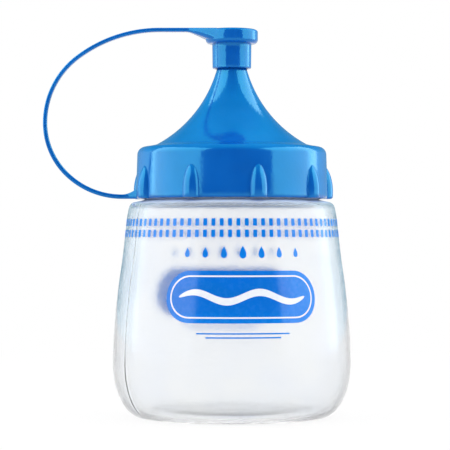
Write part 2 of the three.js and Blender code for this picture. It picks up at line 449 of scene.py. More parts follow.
@dataclass(frozen=True)
class PaperSweep:
    """White paper under the bottle: it shows as the set's white and keeps the soft shadow."""

    name: str = "white_paper_sweep"
    colour: str = "#F4F4F4"
    lifted: float = 0.93
    near_mm: float = 90.0
    far_mm: float = 420.0

    def material(self) -> bpy.types.Material:
        """Builds the material.

        Returns:
            Matt paper that the camera, and gloss and clear plastic, see near the background's white.
        """
        material, tree = new_material(self.name)
        matt = add_node(tree, "ShaderNodeBsdfDiffuse", {"Color": linear(self.colour)})
        white = add_node(tree, "ShaderNodeEmission", {"Color": WHITE, "Strength": 1.0})
        place = add_node(tree, "ShaderNodeTexCoord").outputs["Object"]
        away = add_node(tree, "ShaderNodeVectorMath", {0: place}, operation="LENGTH").outputs["Value"]
        lift = add_node(tree, "ShaderNodeMapRange", {
            "Value": away, "From Min": self.near_mm * MM, "From Max": self.far_mm * MM,
            "To Min": self.lifted,
        })
        share = add_node(tree, "ShaderNodeMath", {
            0: seen_ray(tree), 1: lift.outputs["Result"],
        }, operation="MULTIPLY")
        mix = add_node(tree, "ShaderNodeMixShader", {
            0: share.outputs[0], 1: matt.outputs["BSDF"], 2: white.outputs["Emission"],
        })
        add_node(tree, "ShaderNodeOutputMaterial", {"Surface": mix.outputs["Shader"]})
        return material


def seen_ray(tree: bpy.types.NodeTree) -> bpy.types.NodeSocket:
    """Adds a value that is one for rays that show the background, and zero for rays that gather light.

    Args:
        tree: A material's or the world's tree.

    Returns:
        The value's socket.
    """
    path = add_node(tree, "ShaderNodeLightPath")
    either = add_node(tree, "ShaderNodeMath", {
        0: path.outputs["Is Camera Ray"], 1: path.outputs["Is Glossy Ray"],
    }, operation="MAXIMUM")
    any_of = add_node(tree, "ShaderNodeMath", {
        0: either.outputs[0], 1: path.outputs["Is Transmission Ray"],
    }, operation="MAXIMUM")
    return any_of.outputs[0]


def linked(name: str, data: bpy.types.ID) -> bpy.types.Object:
    """Makes an object and links it to the scene.

    Args:
        name: The object's name.
        data: Its mesh, lamp or camera.

    Returns:
        The object, at the origin.
    """
    item = bpy.data.objects.new(name, data)
    bpy.context.scene.collection.objects.link(item)
    return item


def mesh_object(name: str, points: np.ndarray, faces: Sequence[Sequence[int]]) -> bpy.types.Object:
    """Makes a mesh object from points in millimetres and links it to the scene.

    Args:
        name: The object's name.
        points: One row of x, y, z for each vertex.
        faces: Vertex numbers of each face, seen from outside in a left turn.

    Returns:
        The object, at the origin.
    """
    mesh = bpy.data.meshes.new(name)
    mesh.from_pydata((np.asarray(points) * MM).tolist(), [], [list(face) for face in faces])
    mesh.validate()
    return linked(name, mesh)


def cleaned(item: bpy.types.Object) -> None:
    """Merges a closed mesh's doubled points and turns its faces outwards.

    Args:
        item: The mesh object.
    """
    work = bmesh.new()
    work.from_mesh(item.data)
    bmesh.ops.remove_doubles(work, verts=work.verts, dist=DOUBLED * MM)
    bmesh.ops.recalc_face_normals(work, faces=work.faces)
    work.to_mesh(item.data)
    work.free()


def evaluated_mesh(item: bpy.types.Object, name: str) -> bpy.types.Mesh:
    """Turns an object with its modifiers into a plain mesh.

    Args:
        item: The object.
        name: The new mesh's name.

    Returns:
        The mesh.
    """
    bpy.context.view_layer.update()
    graph = bpy.context.evaluated_depsgraph_get()
    mesh = bpy.data.meshes.new_from_object(item.evaluated_get(graph))
    mesh.name = name
    return mesh


def united(name: str, parts: Sequence[bpy.types.Object]) -> bpy.types.Object:
    """Unites closed meshes into one closed mesh, and removes the meshes that went into it.

    Args:
        name: The result's name.
        parts: The meshes to unite.

    Returns:
        The united object.
    """
    whole = parts[0]
    for part in parts[1:]:
        modifier = whole.modifiers.new("unite", "BOOLEAN")
        modifier.operation = "UNION"
        modifier.solver = "MANIFOLD"
        modifier.object = part
    mesh = evaluated_mesh(whole, name)
    for part in parts:
        bpy.data.objects.remove(part, do_unlink=True)
    return linked(name, mesh)


def joined(name: str, parts: Sequence[bpy.types.Object]) -> bpy.types.Object:
    """Puts separate closed meshes into one object, and removes the ones that went into it.

    Args:
        name: The result's name.
        parts: The meshes to gather.

    Returns:
        The gathered object.
    """
    gathered = bmesh.new()
    for part in parts:
        gathered.from_mesh(part.data)
        bpy.data.objects.remove(part, do_unlink=True)
    mesh = bpy.data.meshes.new(name)
    gathered.to_mesh(mesh)
    gathered.free()
    return linked(name, mesh)


def dressed(item: bpy.types.Object, material: bpy.types.Material, crease_degrees: float = 35.0) -> None:
    """Gives a piece its material and smooth shading with sharp creases.

    Args:
        item: The piece.
        material: Its only material.
        crease_degrees: Edges that bend more than this stay sharp.
    """
    mesh = item.data
    mesh.materials.clear()
    mesh.materials.append(material)
    mesh.polygons.foreach_set("material_index", [0] * len(mesh.polygons))
    mesh.polygons.foreach_set("use_smooth", [True] * len(mesh.polygons))
    mesh.set_sharp_from_angle(angle=math.radians(crease_degrees))
    mesh.update()


def placed(
    item: bpy.types.Object, body: Body, slot: Slot, *nodes: str,
) -> bpy.types.Object:
    """Parents a finished piece to its body's empty, hides the CAD nodes that it stands for, and logs it.

    Args:
        item: The piece.
        body: The body that it rides on.
        slot: The record's material slot. It is not used.
        *nodes: The CAD nodes that it stands for.

    Returns:
        The piece.
    """
    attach(item, body.value)
    if nodes:
        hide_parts(*nodes)
    report(item)
    return item


def report(item: bpy.types.Object) -> None:
    """Logs a finished piece with its number of faces."""
    LOG.info("%s: %d faces", item.name, len(item.data.polygons))


def arc_points(
    centre: tuple[float, float], radii: tuple[float, float], start: float, end: float, steps: int,
) -> Profile:
    """Gives points on an ellipse in the plane of radius and height.

    Args:
        centre: The ellipse's centre.
        radii: Its half sizes outward and up.
        start: The first angle in degrees.
        end: The last angle in degrees.
        steps: The number of steps between them.

    Returns:
        The points, both ends included.
    """
    angles = np.radians(np.linspace(start, end, steps + 1))
    return [
        (centre[0] + radii[0] * math.cos(angle), centre[1] + radii[1] * math.sin(angle))
        for angle in angles
    ]


Shift = Callable[[np.ndarray, np.ndarray], np.ndarray]


@dataclass
class Lathe:
    """Turns an outline about +Z into a closed mesh.

    The outline runs up the outside and down the inside. It either closes on itself or starts and ends on
    the axis.
    """

    segments: int = 256
    extra_degrees: tuple[float, ...] = ()

    def angles(self) -> np.ndarray:
        """Gives the angles of the mesh's columns.

        Returns:
            The angles in radians, in rising order.
        """
        even = np.linspace(0.0, 360.0, self.segments, endpoint=False)
        every = np.concatenate([even, np.asarray(self.extra_degrees, float) % 360.0])
        return np.radians(np.unique(np.round(every, 4)))

    def turned(self, name: str, outline: Profile, shift: Shift | None = None) -> bpy.types.Object:
        """Makes the turned mesh.

        Args:
            name: The object's name.
            outline: Radius and height of each ring.
            shift: Gives each ring's points at their angles a new place, for ridges and marks.

        Returns:
            The closed mesh object.
        """
        angles = self.angles()
        count = len(angles)
        points: list[np.ndarray] = []
        rings: list[list[int]] = []
        total = 0
        for radius, height in outline:
            if radius < ON_AXIS:
                ring = np.array([[0.0, 0.0, height]])
            else:
                flat = np.full(count, height)
                ring = np.stack([radius * np.cos(angles), radius * np.sin(angles), flat], axis=1)
            if shift is not None:
                ring = shift(ring, np.array([radius, height]))
            points.append(ring)
            numbers = list(range(total, total + len(ring)))
            rings.append(numbers if len(ring) > 1 else numbers * count)
            total += len(ring)
        if outline[0][0] > ON_AXIS:
            rings.append(rings[0])
        faces = []
        for low, high in zip(rings, rings[1:]):
            for column in range(count):
                after = (column + 1) % count
                corners = [low[column], low[after], high[after], high[column]]
                face = list(dict.fromkeys(corners))
                if len(face) > 2:
                    faces.append(face)
        return mesh_object(name, np.concatenate(points), faces)


def lofted(name: str, rings: Sequence[np.ndarray]) -> bpy.types.Object:
    """Skins closed rings of points with flat ends.

    Args:
        name: The object's name.
        rings: Rings with the same number of points each, turning left about the way they follow.

    Returns:
        The closed mesh object.
    """
    size = len(rings[0])
    faces: list[list[int]] = []
    for ring in range(len(rings) - 1):
        for side in range(size):
            here = ring * size + side
            after = ring * size + (side + 1) % size
            faces.append([here, after, after + size, here + size])
    last = (len(rings) - 1) * size
    faces.append(list(range(size))[::-1])
    faces.append(list(range(last, last + size)))
    return mesh_object(name, np.concatenate(rings), faces)


class Recipe:
    """A geometry node tree with named inputs that grows one plain mesh at a time."""

    KINDS = {float: "NodeSocketFloat", int: "NodeSocketInt"}

    def __init__(self, name: str, sizes: dict[str, float | int]) -> None:
        """Starts the tree.

        Args:
            name: The tree's name.
            sizes: Each input's name with the value it has unless it is given another.
        """
        self.tree = bpy.data.node_groups.new(name, "GeometryNodeTree")
        self.identifiers: dict[str, str] = {}
        for label, value in sizes.items():
            socket = self.tree.interface.new_socket(
                name=label, in_out="INPUT", socket_type=self.KINDS[type(value)],
            )
            socket.default_value = value
            self.identifiers[label] = socket.identifier
        self.tree.interface.new_socket(name="Mesh", in_out="OUTPUT", socket_type="NodeSocketGeometry")
        self.given = self.tree.nodes.new("NodeGroupInput")

    def size(self, label: str) -> bpy.types.NodeSocket:
        """Gives the socket of a named input."""
        return self.given.outputs[label]

    def close(self, geometry: bpy.types.NodeSocket, material: bpy.types.Material) -> None:
        """Ends the tree with real meshes in one material.

        Args:
            geometry: The tree's result.
            material: The material it gets.
        """
        real = add_node(self.tree, "GeometryNodeRealizeInstances", {"Geometry": geometry})
        painted = add_node(self.tree, "GeometryNodeSetMaterial", {
            "Geometry": real.outputs["Geometry"], "Material": material,
        })
        add_node(self.tree, "NodeGroupOutput", {"Mesh": painted.outputs["Geometry"]})

    def grow(self, name: str, **sizes: float | int) -> bpy.types.Object:
        """Makes one mesh with the tree.

        Args:
            name: The new object's name.
            **sizes: Values for named inputs, with _ for each space of a name.

        Returns:
            A plain mesh object without a modifier.
        """
        seed = mesh_object(name + "_seed", np.zeros((0, 3)), [])
        modifier = seed.modifiers.new("recipe", "NODES")
        modifier.node_group = self.tree
        for label, value in sizes.items():
            modifier[self.identifiers[label.replace("_", " ")]] = value
        mesh = evaluated_mesh(seed, name)
        seed.modifiers.remove(modifier)
        bpy.data.objects.remove(seed, do_unlink=True)
        return linked(name, mesh)


@dataclass
class Thread:
    """The right-hand thread, once on the neck and once, half a pitch higher, inside the lid."""

    pitch: float = 4.2
    turns: float = 1.5
    start: float = 77.0
    root_width: float = 2.2
    crest_width: float = 1.0
    neck_depth: float = 1.7
    lid_depth: float = 1.6
    embed: float = 0.5
    fade_share: float = 1 / 9
    least_share: float = 0.12
    steps_per_turn: int = 96

    def recipe(self, material: bpy.types.Material) -> Recipe:
        """Builds the tree that winds a ridge up a round wall and fades it out at both ends.

        Args:
            material: The material that the tree sets.

        Returns:
            The recipe. Each ridge gives its own Path Radius and Ridge Height.
        """
        recipe = Recipe("thread_ridge", {
            "Path Radius": 0.0, "Ridge Height": 0.0, "Start Height": self.start * MM,
            "Rise": self.pitch * self.turns * MM, "Turns": self.turns, "Turn Steps": self.steps_per_turn,
            "Root Width": self.root_width * MM, "Crest Width": self.crest_width * MM,
            "Fade": self.fade_share, "Least": self.least_share,
        })
        tree, size = recipe.tree, recipe.size
        spiral = add_node(tree, "GeometryNodeCurveSpiral", {
            "Resolution": size("Turn Steps"), "Rotations": size("Turns"),
            "Start Radius": size("Path Radius"), "End Radius": size("Path Radius"), "Height": size("Rise"),
        })
        raised = add_node(tree, "GeometryNodeTransform", {
            "Geometry": spiral.outputs["Curve"],
            "Translation": add_node(tree, "ShaderNodeCombineXYZ", {"Z": size("Start Height")}).outputs[0],
        })
        upright = add_node(tree, "GeometryNodeSetCurveNormal", {
            "Curve": raised.outputs["Geometry"],
        }, mode="Z_UP")
        way = add_node(tree, "GeometryNodeSplineParameter").outputs["Factor"]
        left = add_node(tree, "ShaderNodeMath", {0: 1.0, 1: way}, operation="SUBTRACT")
        nearest = add_node(tree, "ShaderNodeMath", {0: way, 1: left.outputs[0]}, operation="MINIMUM")
        share = add_node(tree, "ShaderNodeMath", {
            0: nearest.outputs[0], 1: size("Fade"),
        }, operation="DIVIDE", use_clamp=True)
        scale = add_node(tree, "ShaderNodeMath", {
            0: share.outputs[0], 1: size("Least"),
        }, operation="MAXIMUM")
        section = add_node(tree, "GeometryNodeCurvePrimitiveQuadrilateral", {
            "Bottom Width": size("Root Width"), "Top Width": size("Crest Width"),
            "Height": size("Ridge Height"), "Offset": 0.0,
        }, mode="TRAPEZOID")
        middle = add_node(tree, "ShaderNodeMath", {
            0: size("Ridge Height"), 1: 0.5,
        }, operation="MULTIPLY").outputs[0]
        turned = add_node(tree, "GeometryNodeTransform", {
            "Geometry": section.outputs["Curve"], "Rotation": (0.0, 0.0, -math.pi / 2),
            "Translation": add_node(tree, "ShaderNodeCombineXYZ", {"X": middle}).outputs[0],
        })
        ridge = add_node(tree, "GeometryNodeCurveToMesh", {
            "Curve": upright.outputs["Curve"], "Profile Curve": turned.outputs["Geometry"],
            "Scale": scale.outputs[0], "Fill Caps": True,
        })
        recipe.close(ridge.outputs["Mesh"], material)
        return recipe

    def ridge(
        self, name: str, wall: float, depth: float, start: float, material: bpy.types.Material,
    ) -> bpy.types.Object:
        """Winds the ridge on a round wall.

        Args:
            name: The object's name.
            wall: The wall's radius.
            depth: How far the ridge stands out from the axis, negative on the inside of a wall.
            start: The height where it starts.
            material: The wall's plastic.

        Returns:
            The ridge, a little sunk in the wall.
        """
        embed = math.copysign(self.embed, depth)
        return self.recipe(material).grow(
            name, Path_Radius=(wall - embed) * MM, Ridge_Height=(depth + embed) * MM,
            Start_Height=start * MM,
        )


@dataclass
class SqueezeBottle:
    """The blown bottle: a round body, a rounded shoulder with a sloping top, and a short wide neck.

    The base is pushed up inside its foot ring. The push-up's tables give steps out from the foot ring and
    the share of the push-up that is left there. The fillets give steps out and up from a corner, and those
    of the bead are shares of its edge.
    """

    wall: float = 1.2
    floor: float = 1.5
    corner_inset: float = 10.0
    belly_radius: float = 40.0
    belly_height: float = 18.0
    waist_radius: float = 36.8
    waist_height: float = 53.0
    side_bend_height: float = 34.0
    waist_blend: float = 5.0
    shoulder_radius: float = 35.35
    shoulder_height: float = 66.6
    bend: tuple[float, float] = (35.0, 69.2)
    edge: tuple[float, float] = (34.85, 69.2)
    edge_corner: float = 2.35
    edge_sweep: tuple[float, float] = (30.0, 80.0)
    shoulder_top: float = 72.3
    neck_foot: float = 73.05
    bead_radius: float = 29.2
    bead_top: float = 75.2
    neck_radius: float = 28.2
    neck_bore: float = 26.6
    rim_height: float = 88.0
    neck_span: tuple[float, float] = (76.5, 86.5)
    push_up: float = 0.8
    push_rings: tuple[float, ...] = (0.0, 4.0, 9.0, 15.0, 20.0)
    push_fall: tuple[tuple[float, float], ...] = (
        (-3.0, 1.0), (-2.2, 0.93), (-1.5, 0.7), (-0.8, 0.3), (0.0, 0.07), (0.7, 0.0), (1.8, 0.0),
    )
    floor_rings: tuple[float, ...] = (0.0, 9.0, 18.0)
    floor_fall: tuple[tuple[float, float], ...] = ((-3.0, 0.75), (-1.0, 0.4), (1.2, 0.0))
    floor_push: float = 0.8
    neck_fillet: tuple[tuple[float, float], ...] = ((0.8, -0.17), (0.3, 0.0), (0.08, 0.12), (0.0, 0.4))
    bore_fillet: tuple[tuple[float, float], ...] = ((1.0, 0.1), (0.2, 0.5), (0.0, 1.2))
    bead_edge: float = 0.5
    bead_round: tuple[tuple[float, float], ...] = ((0.0, -1.0), (-0.3, -0.3), (-1.0, 0.0))
    bead_fillet: tuple[tuple[float, float], ...] = ((0.4, 0.16), (0.0, 0.6))
    rim_edge: float = 0.4
    foot_radius: float = 27.0
    parting_degrees: float = 28.0
    parting_width: float = 0.55
    parting_height: float = 0.06
    parting_columns: tuple[float, ...] = (-0.8, -0.55, -0.3, 0.0, 0.3, 0.55, 0.8)
    parting_margins: tuple[float, float] = (0.5, 0.4)
    parting_inner: float = 30.0
    tolerance: float = 0.01
    scar_half: float = 15.0
    scar_fade: float = 3.0
    scar_depth: float = 0.45
    segments: int = 288
    side_steps: int = 30
    corner_steps: int = 20
    floor_steps: int = 16
    lean_steps: int = 8
    edge_steps: int = 10
    neck_steps: int = 8
    rim_steps: int = 4
    thread: Thread = field(default_factory=Thread)

    def radius_at(self, height: float) -> float:
        """Gives the outside radius of the body.

        Args:
            height: A height between the base and the shoulder's top.

        Returns:
            The radius there.
        """
        if height <= self.belly_height:
            drop = (self.belly_height - height) / self.belly_height
            inner = self.belly_radius - self.corner_inset
            return inner + self.corner_inset * math.sqrt(max(0.0, 1.0 - drop * drop))
        if height >= self.shoulder_height:
            radii, heights = zip(*self.shoulder(0.0))
            return float(np.interp(height, heights, radii))
        low = self.waist_height - self.waist_blend
        high = self.waist_height + self.waist_blend
        if low < height < high:
            share = (height - low) / (high - low)
            ends = self.plain_radius(low), self.plain_radius(high)
            return ((1 - share) ** 2 * ends[0] + 2 * share * (1 - share) * self.waist_radius
                    + share ** 2 * ends[1])
        return self.plain_radius(height)

    def plain_radius(self, height: float) -> float:
        """Gives the side's radius without the soft blend at the waist.

        Args:
            height: A height between the belly and the shoulder.

        Returns:
            The radius there.
        """
        if height >= self.waist_height:
            share = (height - self.waist_height) / (self.shoulder_height - self.waist_height)
            return self.waist_radius + share * (self.shoulder_radius - self.waist_radius)
        bend = self.side_bend_height - self.belly_height
        curl = self.waist_height - self.belly_height - 2 * bend
        rise = height - self.belly_height
        share = (-2 * bend + math.sqrt(4 * bend * bend + 4 * curl * rise)) / (2 * curl)
        return self.belly_radius - (self.belly_radius - self.waist_radius) * share * share

    def shoulder(self, inset: float) -> Profile:
        """Gives the shoulder's outline, which leans in, turns a tight edge and slopes up to its top.

        Args:
            inset: How far inside the outer wall it runs.

        Returns:
            The points from the side to the sloping top.
        """
        centre = (self.edge[0] - self.edge_corner, self.edge[1])
        size = (self.edge_corner - inset, self.shoulder_top - self.edge[1] - inset)
        edge = arc_points(centre, size, *self.edge_sweep, self.edge_steps)
        start = np.array((self.shoulder_radius - inset, self.shoulder_height))
        bend = np.array((self.bend[0] - inset, self.bend[1]))
        end = np.array(edge[0])
        lean = []
        for share in np.linspace(0.0, 1.0, self.lean_steps + 1)[:-1]:
            place = (1 - share) ** 2 * start + 2 * share * (1 - share) * bend + share ** 2 * end
            lean.append((float(place[0]), float(place[1])))
        return [*lean, *edge]

    def outline(self) -> Profile:
        """Gives the whole wall's outline.

        Returns:
            The points from the base's middle up the outside, round the rim and down to the floor's middle.
        """
        foot = self.foot_radius
        corner = (self.belly_radius - self.corner_inset, self.belly_height)
        push = self.push_up
        heights = np.linspace(self.belly_height, self.shoulder_height, self.side_steps + 1)[1:-1]
        neck = np.linspace(*self.neck_span, self.neck_steps + 1)
        bead = (self.bead_radius, self.bead_top)
        soft, edge = self.bead_edge, self.rim_edge
        top = self.rim_height - edge
        inset = self.wall
        roof = self.shoulder_top - inset
        inner_corner = (self.corner_inset - inset, self.belly_height - self.floor)
        outside = [
            *[(radius, push) for radius in self.push_rings],
            *[(foot + step, push * share) for step, share in self.push_fall],
            *arc_points(corner, (self.corner_inset, self.belly_height), -90, 0, self.corner_steps),
            *[(self.radius_at(height), float(height)) for height in heights],
            *self.shoulder(0.0),
            *[(bead[0] + step, self.neck_foot + rise) for step, rise in self.neck_fillet],
            *[(bead[0] + soft * step, bead[1] + soft * rise) for step, rise in self.bead_round],
            *[(self.neck_radius + soft * step, bead[1] + soft * rise) for step, rise in self.bead_fillet],
            *[(self.neck_radius, float(height)) for height in neck],
            *arc_points((self.neck_radius - edge, top), (edge, edge), 0, 90, self.rim_steps),
            *arc_points((self.neck_bore + edge, top), (edge, edge), 90, 180, self.rim_steps),
        ]
        inside = [
            *[(radius, self.floor + push * self.floor_push) for radius in self.floor_rings],
            *[(foot + step, self.floor + push * share) for step, share in self.floor_fall],
            *arc_points(corner, inner_corner, -90, 0, self.floor_steps),
            *[(self.radius_at(height) - inset, float(height)) for height in heights],
            *self.shoulder(inset),
            *[(self.neck_bore + step, roof + rise) for step, rise in self.bore_fillet],
        ]
        return outside + inside[::-1]

    def marked(self, ring: np.ndarray, place: np.ndarray) -> np.ndarray:
        """Raises the hairline where the mould's halves met, and the scar that they pinched on the base.

        Args:
            ring: A ring's points.
            place: The ring's radius and height.

        Returns:
            The points in their new places.
        """
        radius, height = place
        turn = math.radians(self.parting_degrees)
        off = np.abs(ring[:, 1] * math.cos(turn) - ring[:, 0] * math.sin(turn))
        bump = np.clip(1.0 - (off / self.parting_width) ** 2, 0.0, 1.0)
        moved = ring.copy()
        outside_wall = radius > self.parting_inner and height <= self.belly_height
        outside_wall |= abs(radius - self.body_radius(height)) < self.tolerance
        low, high = self.parting_margins
        if outside_wall and low < height < self.shoulder_top - high:
            outward = ring[:, :2] / np.linalg.norm(ring[:, :2], axis=1, keepdims=True)
            moved[:, :2] += outward * (bump * self.parting_height)[:, None]
        elif height < self.push_up + self.tolerance and radius <= self.push_rings[-1]:
            along = np.abs(ring[:, 0] * math.cos(turn) + ring[:, 1] * math.sin(turn))
            fade = np.clip((self.scar_half + self.scar_fade - along) / self.scar_fade, 0.0, 1.0)
            moved[:, 2] -= bump * fade * self.scar_depth
        return moved

    def body_radius(self, height: float) -> float:
        """Gives radius_at, or zero where the height lies above the shoulder."""
        return self.radius_at(height) if height <= self.shoulder_top else 0.0

    def build(self, material: bpy.types.Material) -> bpy.types.Object:
        """Makes the bottle's wall and thread in one mesh.

        Args:
            material: The frosted plastic.

        Returns:
            The finished object.
        """
        extra = []
        for middle in (self.parting_degrees, self.parting_degrees + 180.0):
            extra += [middle + step for step in self.parting_columns]
        lathe = Lathe(self.segments, tuple(extra))
        wall = lathe.turned("bottle_wall", self.outline(), self.marked)
        thread = self.thread
        ridge = thread.ridge("neck_thread", self.neck_radius, thread.neck_depth, thread.start, material)
        bottle = united("frosted_bottle", [wall, ridge])
        dressed(bottle, material)
        return bottle


@dataclass
class DashBand:
    """Two rings of small printed dashes under the shoulder."""

    count: int = 83
    width: float = 1.3
    length: float = 2.4
    corner: float = 0.22
    corner_steps: int = 2
    below: float = 0.03
    proud: float = 0.04
    upper_height: float = 65.35
    lower_height: float = 61.7

    def recipe(self, material: bpy.types.Material) -> Recipe:
        """Builds the tree that sets dashes round the wall.

        Args:
            material: The ink.

        Returns:
            The recipe. Each ring gives its own Ring Radius, Ring Height and Lean.
        """
        recipe = Recipe("dash_ring", {
            "Count": self.count, "Ring Radius": 0.0, "Ring Height": 0.0, "Lean": 0.0,
            "Dash Width": self.width * MM, "Dash Length": self.length * MM,
            "Corner": self.corner * MM, "Corner Steps": self.corner_steps,
            "Inner Face": -self.below * MM, "Outer Face": self.proud * MM,
        })
        tree, size = recipe.tree, recipe.size
        shape = add_node(tree, "GeometryNodeCurvePrimitiveQuadrilateral", {
            "Width": size("Dash Width"), "Height": size("Dash Length"),
        }, mode="RECTANGLE")
        rounded = add_node(tree, "GeometryNodeFilletCurve", {
            "Curve": shape.outputs["Curve"], "Radius": size("Corner"), "Count": size("Corner Steps"),
        }, mode="POLY")
        line = add_node(tree, "GeometryNodeCurvePrimitiveLine", {
            "Start": add_node(tree, "ShaderNodeCombineXYZ", {"X": size("Inner Face")}).outputs[0],
            "End": add_node(tree, "ShaderNodeCombineXYZ", {"X": size("Outer Face")}).outputs[0],
        })
        plate = add_node(tree, "GeometryNodeCurveToMesh", {
            "Curve": line.outputs["Curve"], "Profile Curve": rounded.outputs["Curve"], "Fill Caps": True,
        })
        leaned = add_node(tree, "GeometryNodeTransform", {
            "Geometry": plate.outputs["Mesh"],
            "Rotation": add_node(tree, "ShaderNodeCombineXYZ", {"Y": size("Lean")}).outputs[0],
        })
        ring = add_node(tree, "GeometryNodeMeshCircle", {
            "Vertices": size("Count"), "Radius": size("Ring Radius"),
        })
        place = add_node(tree, "GeometryNodeInputPosition").outputs["Position"]
        facing = add_node(tree, "FunctionNodeAlignRotationToVector", {
            "Vector": place,
        }, axis="X", pivot_axis="Z")
        many = add_node(tree, "GeometryNodeInstanceOnPoints", {
            "Points": ring.outputs["Mesh"], "Instance": leaned.outputs["Geometry"],
            "Rotation": facing.outputs["Rotation"],
        })
        lifted = add_node(tree, "GeometryNodeTransform", {
            "Geometry": many.outputs["Instances"],
            "Translation": add_node(tree, "ShaderNodeCombineXYZ", {"Z": size("Ring Height")}).outputs[0],
        })
        recipe.close(lifted.outputs["Geometry"], material)
        return recipe

    def build(self, bottle: SqueezeBottle, ink: bpy.types.Material) -> list[bpy.types.Object]:
        """Makes both rings.

        Args:
            bottle: The bottle that carries them.
            ink: The printing ink.

        Returns:
            The upper and the lower ring.
        """
        recipe = self.recipe(ink)
        rings = []
        for name, height in (("upper", self.upper_height), ("lower", self.lower_height)):
            low = bottle.radius_at(height - self.length / 2)
            high = bottle.radius_at(height + self.length / 2)
            ring = recipe.grow(
                f"dash_ring_{name}", Ring_Radius=(low + high) / 2 * MM, Ring_Height=height * MM,
                Lean=-math.atan2(low - high, self.length),
            )
            dressed(ring, ink)
            rings.append(ring)
        return rings


@dataclass
class PrintedPanel:
    """A plain printed design: a blue panel with a pale wave, a row of drops over it and lines under it."""

    facing_shift: float = 5.4
    middle_height: float = 41.3
    panel_half: float = 26.0
    panel_rise: float = 8.4
    wave_height: float = 1.5
    wave_width: float = 2.2
    wave_count: float = 2.0
    inset: float = 1.5
    line_width: float = 0.5
    drop_count: int = 7
    drop_pitch: float = 6.4
    drop_height: float = 55.2
    drop_size: float = 2.1
    drop_shrink: float = 0.09
    drop_girth: float = 0.775
    drop_point: float = 1.3
    drop_lift: float = 0.25
    wave_margin: float = 3.2
    wave_tip: float = 0.15
    rule_half: float = 15.0
    rule_heights: tuple[float, float] = (29.6, 28.3)
    rule_width: float = 0.45
    rule_shares: tuple[float, float] = (1.0, 0.8)
    panel_rows: int = 24
    panel_columns: int = 96
    wave_columns: int = 120
    border_columns: int = 40
    border_steps: int = 32
    drop_steps: int = 28
    drop_loops: tuple[float, ...] = (0.02, 0.5, 1.0)
    rule_columns: int = 60
    blue_depths: tuple[float, float] = (-0.03, 0.04)
    pale_depths: tuple[float, float] = (0.02, 0.08)

    def wrapped(
        self, name: str, grid: np.ndarray, loop: bool, bottle: SqueezeBottle, side: Side, pale: bool,
    ) -> bpy.types.Object:
        """Lays a flat grid of points round the wall as a thin closed layer of ink.

        Args:
            name: The patch's name.
            grid: Rows of points, each with the way round the wall and the height.
            loop: Whether each row closes on itself.
            bottle: The bottle that carries the ink.
            side: The printed side.
            pale: Whether it is the pale ink on top of the blue.

        Returns:
            The patch.
        """
        rows, columns, _ = grid.shape
        depths = self.pale_depths if pale else self.blue_depths
        facing = math.radians(side.value + self.facing_shift)
        reference = bottle.radius_at(self.middle_height)
        layers = []
        for lift in depths:
            radii = np.vectorize(bottle.radius_at)(grid[:, :, 1]) + lift
            turn = facing + grid[:, :, 0] / reference
            layer = np.stack([radii * np.cos(turn), radii * np.sin(turn), grid[:, :, 1]], axis=2)
            layers.append(layer.reshape(-1, 3))
        size = rows * columns
        wide = columns if loop else columns - 1
        faces = []
        edges: set[tuple[int, int]] = set()
        for row in range(rows - 1):
            for column in range(wide):
                after = (column + 1) % columns
                start, end = row * columns + column, row * columns + after
                over_end, over_start = end + columns, start + columns
                corners = [start, end, over_end, over_start]
                faces.append([corner + size for corner in corners])
                faces.append(corners[::-1])
                edges.update(zip(corners, corners[1:] + corners[:1]))
        for start, end in sorted(edges):
            if (end, start) not in edges:
                faces.append([start, end, end + size, start + size])
        points = np.concatenate(layers)
        item = mesh_object(name, points, faces)
        cleaned(item)
        return item

    def panel(self) -> np.ndarray:
        """Gives the panel with its round ends.

        Returns:
            Rows of points from its lower to its upper edge.
        """
        rows = []
        rise = self.panel_rise
        straight = self.panel_half - rise
        for level in np.sin(np.linspace(-math.pi / 2, math.pi / 2, self.panel_rows + 1)):
            half = straight + rise * math.sqrt(max(0.0, 1 - level * level))
            spread = np.linspace(-half, half, self.panel_columns + 1)
            heights = np.full_like(spread, self.middle_height + rise * level)
            rows.append(np.stack([spread, heights], axis=1))
        return np.array(rows)

    def ribbon(self, spread: np.ndarray, middle: np.ndarray, width: np.ndarray | float) -> np.ndarray:
        """Gives a band along a line of heights.

        Args:
            spread: The places along the wall.
            middle: The height of its middle at each place.
            width: Its width, or the width at each place.

        Returns:
            The lower and the upper row of points.
        """
        half = np.broadcast_to(np.asarray(width) / 2, spread.shape)
        low = np.stack([spread, middle - half], axis=1)
        high = np.stack([spread, middle + half], axis=1)
        return np.array([low, high])

    def wave(self) -> np.ndarray:
        """Gives the pale wave across the panel, thin at its ends.

        Returns:
            The lower and the upper row of points.
        """
        reach = self.panel_half - self.inset - self.wave_margin
        spread = np.linspace(-reach, reach, self.wave_columns + 1)
        phase = spread / reach * math.pi * self.wave_count
        middle = self.middle_height + self.wave_height * np.sin(phase)
        full = np.sqrt(np.clip(1 - (spread / reach) ** 4, 0.0, 1.0))
        return self.ribbon(spread, middle, self.wave_width * full + self.wave_tip)

    def border(self) -> np.ndarray:
        """Gives the thin pale line inside the panel's edge.

        Returns:
            The inner and the outer loop of points.
        """
        outer_rise = self.panel_rise - self.inset
        straight = self.panel_half - self.panel_rise
        loops = []
        for rise in (outer_rise - self.line_width, outer_rise):
            points = []
            for way, first in ((1, -90), (-1, 90)):
                end = (way * straight, self.middle_height)
                points += arc_points(end, (rise, rise), first, first + 180, self.border_steps)
                level = self.middle_height + way * rise
                spreads = np.linspace(end[0], -end[0], self.border_columns + 1)[1:-1]
                points += [(float(spread), level) for spread in spreads]
            loops.append(points)
        return np.array(loops)

